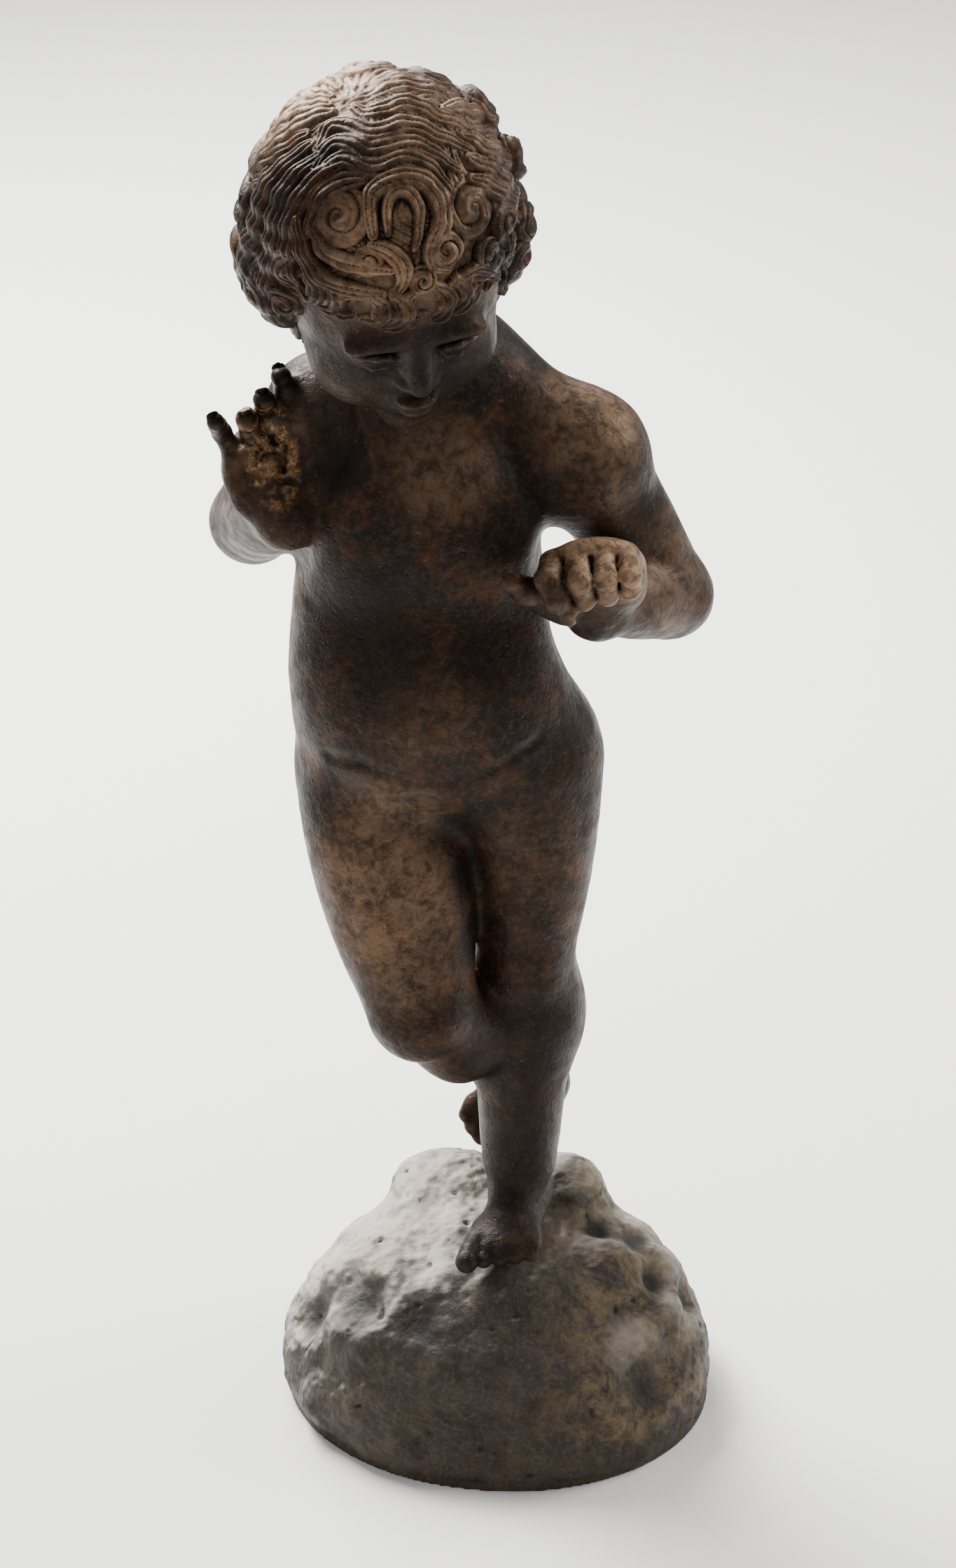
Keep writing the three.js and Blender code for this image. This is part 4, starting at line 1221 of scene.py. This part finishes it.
@dataclass
class Hair:
    """The curly hair: strands combed out from the crown, a forelock, a fringe and curls all round."""

    figure: Figure
    centre: Vec = (0, 14, 10)
    radii: Vec = (93, 100, 93)
    crown: Place = (-152, 66)
    fineness: int = 176
    triangles: int = 190_000
    forelock_middle: Place = (-5, 36)
    forelock_sink: float = 2.4
    flatter_side: Place = (-135, 50)
    flattening: float = 4.5
    buried: float = 7

    # The locks and curls in front, as in the photograph from the crown forwards, and the rows of curls
    # behind: each row's height and size in degrees, its first and last place and its number of curls.
    FORELOCK = (
        Lock(((-169, 60), (174, 63), (155, 54), (139, 52), (123, 52), (110, 51)), 6.5, 3.0, 3),
        Lock(((-151, 71), (-153, 78), (170, 80), (140, 74), (121, 70), (103, 66), (96, 57), (87, 49)),
             5.4, 3.4, 3),
        Lock(((-96, 60), (-112, 63), (-121, 67), (-117, 75), (-95, 82), (-71, 89), (102, 83), (88, 76),
             (78, 69), (76, 59), (71, 50)), 5.2, 3.8, 3),
        Lock(((-82, 57), (-90, 62), (-95, 68), (-83, 74), (-52, 77), (-20, 81), (34, 81), (53, 75),
             (54, 67), (55, 58)), 5.2, 4.2, 3),
        Lock(((-67, 55), (-73, 60), (-73, 66), (-64, 70), (-44, 71), (-25, 73), (12, 76), (35, 69),
             (37, 61), (36, 54)), 5.0, 4.6, 3),
        Lock(((-23, 47), (-28, 58), (-25, 65), (4, 69), (24, 63), (25, 54), (20, 47), (11, 41), (9, 33),
             (16, 28)), 4.8, 7.0, 3, 2.0),
        Lock(((-14, 48), (-15, 58), (-8, 64), (5, 63), (9, 57), (5, 48), (0, 41)), 3.0, 6.5, 2, 2.0),
        Lock(((-67, 38), (-59, 30), (-51, 24), (-42, 21), (-30, 21), (-16, 22)), 5.4, 7.0, 4, 2.0),
        Lock(((-56, 39), (-48, 34), (-38, 33), (-25, 34), (-12, 33)), 4.4, 5.5, 2),
        Lock(((-39, 67), (-55, 62), (-61, 54), (-60, 45), (-58, 36)), 5.0, 5.0, 3),
        Lock(((-67, 66), (-73, 56), (-72, 45), (-70, 35), (-66, 24), (-61, 15), (-55, 7)), 5.2, 5.6, 3),
        Lock(((-88, 60), (-87, 49), (-83, 37), (-78, 25), (-75, 11), (-73, -5), (-70, -15)),
             5.4, 5.0, 3),
        Lock(((-103, 57), (-98, 42), (-94, 27), (-90, 11), (-91, -9), (-83, -14), (-75, -19)),
             6.0, 5.4, 3),
        Lock(((-114, 54), (-111, 37), (-116, 10), (-107, 3), (-98, -3), (-89, -10), (-81, -15)),
             6.0, 5.0, 3),
        Lock(((-134, 63), (-126, 53), (-118, 40), (-114, 25), (-114, 8)), 5.6, 6.0, 2, 2.6),
        Lock(((-142, 59), (-138, 48), (-133, 36), (-130, 22)), 5.4, 5.4, 2, 2.6),
        Lock(((-150, 56), (-150, 44), (-148, 30), (-145, 16)), 5.4, 6.0, 2, 2.6),
        Lock(((-160, 54), (-165, 40), (-165, 26), (-162, 12)), 5.4, 5.4, 2, 2.6),
        Lock(((-23, 43), (-14, 41), (-7, 36), (-6, 29), (-10, 23)), 4.6, 6.0, 3),
        Lock(((17, 20), (28, 20), (37, 14), (47, -1)), 5.0, 7.0, 3),
        Lock(((86, 57), (84, 45), (91, 25), (89, 14)), 5.4, 5.0, 3),
        Lock(((68, 55), (72, 43), (75, 27), (81, 8)), 5.2, 5.6, 3),
        Lock(((57, 51), (63, 39), (69, 22), (73, 3)), 5.0, 5.6, 3),
        Lock(((110, 60), (112, 44), (116, 26), (120, 8)), 6.0, 5.0, 3),
    )
    CURLS = (
        Curl(17, 37, 8.5, -1, 200, 8), Curl(57, 25, 10, 1, 20, 8), Curl(-76, -18, 11, 1, 20, 7),
        Curl(118, 30, 11, -1, 60, 13), Curl(96, 19, 10, 1, 100, 14), Curl(76, 2, 10, -1, 30, 12),
        Curl(66, -6, 9, 1, 150, 11), Curl(57, -12, 8, -1, 60, 9), Curl(3, 27, 7, 1, 120, 6),
        Curl(40, 22, 8, -1, 0, 7), Curl(54, 9, 9, 1, 200, 8), Curl(-46, 50, 13, 1, 150, 4.5),
        Curl(42, 44, 12, -1, 30, 4.5), Curl(-24, 36, 7, -1, 200, 5),
        Curl(-88, -20, 11, -1, 100, 7), Curl(-62, -8, 9, 1, 250, 6),
        Curl(-110, 2, 12, 1, 0, 9), Curl(-104, -20, 12, -1, 90, 10),
    )
    ROWS = (
        (36, 15, 140, 215, 3), (13, 15, 112, 234, 5), (-10, 15, 88, 238, 7), (-31, 14, 72, 288, 9),
    )

    def crown_axes(self) -> tuple[np.ndarray, np.ndarray, np.ndarray]:
        """The crown's directions: outward, to the viewer's left and to the front."""
        out = toward(self.crown)
        side = np.cross(out, (0, -1, 0))
        side /= np.linalg.norm(side)
        return out, side, np.cross(side, out)

    def from_crown(self, angle: float, bearing: float) -> Place:
        """A place by its angle from the crown and its bearing about it.

        Args:
            angle: degrees from the crown.
            bearing: degrees, 0 to the front and + to the viewer's right.

        Returns:
            The place as degrees round and above.
        """
        out, side, front = self.crown_axes()
        a, b = math.radians(angle), math.radians(bearing)
        way = out * math.cos(a) + (front * math.cos(b) - side * math.sin(b)) * math.sin(a)
        return math.degrees(math.atan2(way[0], -way[1])), math.degrees(math.asin(np.clip(way[2], -1, 1)))

    def whirl(self) -> list[Lock]:
        """Wavy locks from the crown down the back."""
        locks = []
        first, reach, steps, wavelength = 3, 63, 8, 31
        for i in range(7):
            bearing = 108 + 24 * i + 3 * math.sin(5 * i)
            places = []
            for k in range(steps + 1):
                angle = first + reach * k / steps
                wave = 2.2 * math.sin(2 * math.pi * angle / wavelength + 0.5 + 0.35 * math.sin(3 * i))
                swing = wave / max(math.sin(math.radians(angle)), 0.25)
                places.append(self.from_crown(angle, bearing + 8 + swing - 0.12 * angle))
            locks.append(Lock(tuple(places), 9, 3.0, 4, 2.2, 0.7 * i))
        return locks

    def combed(self, directions: np.ndarray) -> tuple[np.ndarray, np.ndarray]:
        """The fine strands between the locks, fanned out from the crown, and the waves across them.

        Args:
            directions: unit directions on the head as three rows.

        Returns:
            How deep the furrows are and how high the waves stand at each direction, in thousandths.
        """
        out, side, front = self.crown_axes()
        angle = np.degrees(np.arccos(np.clip(out @ directions, -1, 1)))
        bearing = np.degrees(np.arctan2(-(side @ directions), front @ directions))
        wave = np.sin(angle / 5 + 0.8 * np.sin(np.radians(3 * bearing))) * fade(angle, 4, 20)
        strand = (bearing + 0.12 * angle) * 48 / 360 + wave
        furrow = 1.6 * (1 - cord(strand)) * fade(angle, 2, 12)
        furrow += 1.3 * (1 - cord(2 * strand)) * fade(angle, 26, 38)
        crimp = np.sin(angle / 1.7 + 1.2 * np.sin(np.radians(4 * bearing)))
        return furrow, crimp * (0.5 + 0.6 * fade(angle, 40, 62))

    def fringe(self) -> list[Lock]:
        """Short tufts side by side along the brow."""
        tufts = []
        for i in range(13):
            around, lean = -62 + 10.2 * i, 1 if i % 3 else -1
            low = 7 + 3 * math.sin(2.3 * i)
            bends = ((0, 22), (5 * lean, 15), (3 * lean, 8), (-3 * lean, low))
            places = tuple((around + aside, above) for aside, above in bends)
            tufts.append(Lock(places, 5.6, 6.5 + math.sin(1.7 * i), 3, 2.2, 0.9 * i))
        return tufts

    def curls(self) -> list[Curl]:
        """The curls in front, and rows of them round the sides and the back."""
        curls = list(self.CURLS)
        for row, (above, size, first, last, count) in enumerate(self.ROWS):
            for i in range(count):
                around = first + (last - first) * i / (count - 1)
                sway = 5 * math.sin(i * 2.4 + row)
                hand = 1 if (i + row) % 2 else -1
                curls.append(Curl(around, above + sway, size, hand, 70 * i + 50 * row, 7))
        return curls

    def cap(self) -> Form:
        """The mass of hair under the locks, open over the face."""
        form = Form(16)
        form.add(mass((0, 18, 26), (89, 94, 80)))
        form.add(mass((0, 62, -18), (78, 52, 66)))
        for side in (-1, 1):
            form.add(mass((side * 66, 14, -12), (32, 48, 42)))
        return form.cut(mass((0, -98, -52), (66, 62, 66)), 14)

    def directions(self) -> tuple[np.ndarray, np.ndarray]:
        """Directions spread evenly over a ball, from the six sides of a cube.

        Returns:
            Unit directions as three rows, and quads of their numbers.
        """
        n = self.fineness
        line = np.tan(np.linspace(-math.pi / 4, math.pi / 4, n + 1))
        u, v = (g.ravel() for g in np.meshgrid(line, line, indexing="ij"))
        points, quads = [], []
        i, j = (g.ravel() for g in np.meshgrid(np.arange(n), np.arange(n), indexing="ij"))
        corner = i * (n + 1) + j
        square = np.stack([corner, corner + n + 1, corner + n + 2, corner + 1], 1)
        for axis in range(3):
            for sign in (-1, 1):
                side = np.empty((3, len(u)))
                side[axis], side[(axis + 1) % 3], side[(axis + 2) % 3] = sign, u * sign, v
                quads.append(square + len(points) * len(u))
                points.append(side / np.linalg.norm(side, axis=0))
        points = np.concatenate(points, 1)
        keys = np.round(points, 7).T
        _, first, number = np.unique(keys, axis=0, return_index=True, return_inverse=True)
        return points[:, first], number.ravel()[np.concatenate(quads)]

    def shell(self, form: Form, rays: np.ndarray, rounds: int = 40) -> np.ndarray:
        """How far out along each ray from the middle of the hair a form reaches, in thousandths."""
        far = np.full(rays.shape[1], 20.0)
        unit = rays / np.linalg.norm(rays, axis=0)
        for _ in range(rounds):
            here = np.array(self.centre, float)[:, None] + unit * far
            far = np.clip(far - 0.9 * form.distance(here), 5, 160)
        return far

    def build(self) -> bpy.types.Object:
        """The hair as one piece, without what lies deep under the skin."""
        directions, quads = self.directions()
        rays = directions * np.array(self.radii, float)[:, None]
        unit = rays / np.linalg.norm(rays, axis=0)
        head = self.figure.head
        cap, skin = self.shell(self.cap(), rays), self.shell(head.skull(), rays)
        grain = Grain(3)
        furrow, waves = self.combed(directions)
        front = fade(toward(self.forelock_middle) @ directions, 0.6, 0.92)
        waves -= self.flattening * fade(toward(self.flatter_side) @ directions, 0.8, 0.98)
        height = cap + 1.0 - self.forelock_sink * front + waves - furrow * (1 - 0.3 * front)
        height += 0.6 * grain.layer(rays, 9)
        laid = np.maximum(cap, skin - 1.5) + waves
        for piece in (*self.whirl(), *self.fringe(), *self.FORELOCK, *self.curls()):
            under, raised = piece.raised(directions)
            height[under] = np.maximum(height[under], laid[under] + raised)
        height += 0.35 * grain.layer(rays, 5)
        local = np.array(self.centre, float)[:, None] + unit * height
        points = head.frame().outward(local * head.size)
        deep = self.figure.form().distance(points) < -self.buried
        points = self.figure.to_metres(points)
        quads = quads[~deep[quads].all(1)]
        used, quads = np.unique(quads, return_inverse=True)
        hair = new_piece("putto_hair", points[:, used], quads.reshape(-1, 4))
        thinned(hair, self.triangles)
        return hair


# The boulder.

@dataclass
class Boulder:
    """The natural rock under the standing foot."""

    figure: Figure
    width: float = 286
    depth: float = 236
    height: float = 134
    box: tuple[Vec, Vec] = ((-178, -156, -8), (178, 156, 190))
    cell: float = 1.7
    seat_gap: float = 0.5
    pit_depth: float = 2.0
    sunk: float = 1.4
    triangles: int = 190_000

    # Lobes and dents of the skin in millimetres: a place near each, its radius and its height.
    LOBES = (
        ((109, 15, 76), 26, 6), ((94, 50, 98), 28, 5), ((102, -22, 64), 22, 6), ((84, -46, 64), 24, 7),
        ((131, -14, 48), 20, 4), ((60, 40, 122), 26, 3), ((116, 2, 64), 16, -7), ((80, 8, 94), 20, -7),
        ((86, -8, 80), 16, -7), ((88, -66, 40), 22, -5), ((68, 10, 108), 16, -6), ((-90, -5, 78), 24, 5),
        ((-58, -24, 94), 26, 5), ((-34, -34, 98), 22, 4), ((-98, -16, 58), 22, -6),
        ((-70, -36, 72), 24, -7), ((-44, -52, 78), 22, -6), ((-122, -12, 32), 22, 3),
        ((-112, -50, 24), 20, 4), ((-60, 70, 120), 24, 4),
    )

    def form(self) -> Form:
        """The boulder's masses in millimetres, before the ground and the standing foot are cut away."""
        half = np.array([self.width / 2, self.depth / 2, self.height])

        def share(x: float, y: float, z: float) -> Vec:
            """Shares of the half width, half depth and height in millimetres."""
            return tuple(np.array([x, y, z]) * half)

        form = Form(28)
        form.add(mass(share(0, 0, 0.14), share(1, 1, 0.56), (0, 0, -8)))
        form.add(mass(share(-0.1, 0.05, 0.4), share(0.74, 0.84, 0.58)), 34)
        form.add(mass(share(0.48, 0.12, 0.34), share(0.4, 0.6, 0.42)), 24)
        form.add(mass(share(0.28, 0.42, 0.72), share(0.26, 0.34, 0.34)), 12)
        form.add(mass(share(-0.2, 0.5, 0.7), share(0.3, 0.38, 0.32)), 16)
        form.add(mass(share(-0.36, -0.36, 0.62), share(0.42, 0.34, 0.2), (16, -14, 0)), 7)
        form.add(mass(share(0.52, 0.02, 0.66), share(0.22, 0.34, 0.2), (0, 30, 0)), 9)
        form.add(mass(share(0.34, -0.62, 0.4), share(0.26, 0.2, 0.18), (0, 12, 20)), 9)
        form.cut(mass(share(-0.26, -1.2, 0.36), share(0.6, 0.3, 0.3)), 24)
        return form.cut(mass(share(0.86, -0.56, 0.56), share(0.16, 0.22, 0.18)), 14)

    def foot(self) -> Form:
        """The standing foot and leg in millimetres, a little swollen."""
        place = Frame.turned(tuple(np.array(self.figure.foothold) * 1000))
        foot = Form(10, place, self.figure.height, self.seat_gap)
        foot.add(self.figure.standing.form())
        return foot.add(self.figure.standing_foot(), 10)

    def build(self) -> bpy.types.Object:
        """The rock with its rough, pitted skin."""
        seat = self.foot()
        rock = Form(0).add(self.form(), 0).cut(Ground(), 0).cut(seat, 0)
        grid = Grid(*self.box, self.cell)
        points, quads = grid.skin(rock)
        points[2] = np.where(points[2] < 0.6, 0, points[2])
        piece = new_piece("boulder_rock", points * MILLIMETRE, quads)
        self.roughen(piece, seat)
        thinned(piece, self.triangles)
        return piece

    def lobes(self, places: np.ndarray) -> list[tuple[float, np.ndarray]]:
        """How high each lobe or dent of the rock is, and how near each place is to its middle, 0 to 1."""
        found = []
        for centre, radius, height in self.LOBES:
            off = ((places - np.array(centre)[:, None]) ** 2).sum(0)
            middle = places[:, off.argmin()]
            off = np.sqrt(((places - middle[:, None]) ** 2).sum(0))
            found.append((height, 1 - fade(off, 0, 1.1 * radius)))
        return found

    def roughen(self, piece: bpy.types.Object, seat: Form) -> None:
        """Gives the rock its lumps, grain and pits, clear of the foot and the ground."""
        grain, places = Grain(21), mesh_points(piece.data) * 1000
        lumps = 2.2 * grain.layer(places, 34) + 1.7 * grain.layer(places, 13)
        for height, near in self.lobes(places):
            lumps += height * near
        crumbs = 0.6 * grain.layer(places, 5) + 0.4 * grain.layer(places, 2.6)
        pits = self.pit_depth * fade(grain.layer(places + 300, 8), 0.72, 0.95)
        clear = fade(seat.distance(places), 0.5, 9) * fade(places[2], 0.2, 5)
        displaced(piece.data, (lumps + crumbs - pits - self.sunk) * clear * MILLIMETRE)
        settled = mesh_points(piece.data)
        settled[2] = np.maximum(settled[2], 0)
        piece.data.vertices.foreach_set("co", settled.T.astype(np.float32).ravel())
        piece.data.update()

    def weather_and_paint_light(self, piece: bpy.types.Object) -> None:
        """Stores where the rock takes painted shade in its hollows and dents, painted glare where it
        faces up towards the back left and on its knobs, and lichen.
        """
        mesh = piece.data
        places, normals = mesh_points(mesh) * 1000, mesh_normals(mesh)
        near, wide = (hollows(mesh, rounds) * 1000 for rounds in (4, 60))
        lobes = self.lobes(places)
        dents = sum(share for height, share in lobes if height < 0)
        knobs = sum(share for height, share in lobes if height > 0)
        # Painted shade in hollows and in the dents between the lobes.
        set_layer(mesh, "hollow", fade(near, 0.2, 1.0) + fade(wide, 0.6, 3.0) + 0.9 * dents)
        # Painted glare where the rock faces up and back to the left, towards the key lamp, and on the
        # knobs.
        facing = 0.8 * normals[2] - 0.45 * normals[0] + 0.3 * normals[1]
        glare = fade(facing, 0.5, 0.95) * (1 - 0.5 * fade(places[0], -10, 60))
        glare += 0.6 * knobs * fade(normals[2], 0.2, 0.8)
        set_layer(mesh, "glare", glare * (1 - np.clip(dents, 0, 1)))
        set_layer(mesh, "lichen", 1.2 * fade(places[0], 10, 90) * fade(normals[2], -0.1, 0.6) + 0.15)


# The studio.

@dataclass(frozen=True)
class ViewPoint:
    """The camera, as high, near and steep as for the photograph."""

    place: Vec = (-0.013, -2.018, 1.60)
    pitch: float = 29.6
    focal_pixels: float = 6029
    image_height: float = 2464
    sensor: float = 36

    def build(self) -> None:
        """Makes the scene's camera."""
        lens = bpy.data.cameras.new("camera")
        lens.sensor_width = self.sensor
        lens.lens = self.sensor * self.focal_pixels / self.image_height
        camera = bpy.data.objects.new("camera", lens)
        camera.location = self.place
        camera.rotation_euler = (math.radians(90 - self.pitch), 0, 0)
        bpy.context.scene.collection.objects.link(camera)
        bpy.context.scene.camera = camera


@dataclass(frozen=True)
class Studio:
    """A pale floor under soft light that comes mostly from behind and the left."""

    floor_colour: Colour = shade("f0eeea")
    air: float = 0.45

    # Each lamp's name, place, breadth in metres and power in watts.
    LAMPS = (
        ("key", (-1.2, 1.3, 2.2), 1.0, 190), ("window", (-0.7, 2.3, 1.9), 1.3, 120),
        ("fill", (-1.4, -1.9, 1.9), 2.0, 10), ("side", (1.7, 0.5, 1.6), 1.2, 42),
    )

    def lamp(self, name: str, place: Vec, size: float, power: float) -> None:
        """A square soft light that points at the figure's middle."""
        light = bpy.data.lights.new(name, "AREA")
        light.size, light.energy = size, power
        lamp = bpy.data.objects.new(name, light)
        lamp.location = place
        aim = np.array([0, 0, 0.5]) - np.array(place)
        flat = math.hypot(aim[0], aim[1])
        lamp.rotation_euler = (math.atan2(flat, -aim[2]), 0, math.atan2(-aim[0], aim[1]))
        bpy.context.scene.collection.objects.link(lamp)

    def build(self) -> None:
        """Makes the floor, the air's glow and the lamps."""
        corners = np.array([[-7, 7, 7, -7], [-7, -7, 7, 7], [-0.0005] * 4], float)
        floor = new_piece("floor", corners, np.array([[0, 1, 2, 3]]))
        s = Shader("pale_floor")
        s.surface.inputs["Base Color"].default_value = self.floor_colour
        s.surface.inputs["Roughness"].default_value = 0.9
        floor.data.materials.append(s.material)
        world = bpy.data.worlds.new("soft_air")
        world.use_nodes = True
        glow = world.node_tree.nodes["Background"]
        glow.inputs["Color"].default_value = (1, 1, 1, 1)
        glow.inputs["Strength"].default_value = self.air
        bpy.context.scene.world = world
        for lamp in self.LAMPS:
            self.lamp(*lamp)


def place_piece(piece: bpy.types.Object, node: str, material: bpy.types.Material) -> None:
    """Gives a piece its material and ties it to the solid that it stands for.

    Args:
        piece: the piece.
        node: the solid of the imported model.
        material: its finish.
    """
    piece.data.materials.clear()
    piece.data.materials.append(material)
    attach(piece, "root")
    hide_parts(node)
    log.info("%s: %d faces", piece.name, len(piece.data.polygons))


def main() -> None:
    """Builds the camera, the studio, the figure, its hair and the boulder."""
    logging.basicConfig(level=logging.INFO, format="%(relativeCreated)d %(message)s")
    ViewPoint().build()
    Studio().build()
    lead, rock = LeadPatinaAndPaintedLight().material(), WeatheredRockAndPaintedLight().material()
    figure = Figure()
    body = figure.build()
    figure.weather_and_paint_light(body, 1.0)
    place_piece(body, "putto", lead)
    hair = Hair(figure).build()
    figure.weather_and_paint_light(hair, 1.2)
    place_piece(hair, "putto", lead)
    boulder = Boulder(figure)
    stone = boulder.build()
    boulder.weather_and_paint_light(stone)
    place_piece(stone, "boulder", rock)


if __name__ == "__main__":
    main()
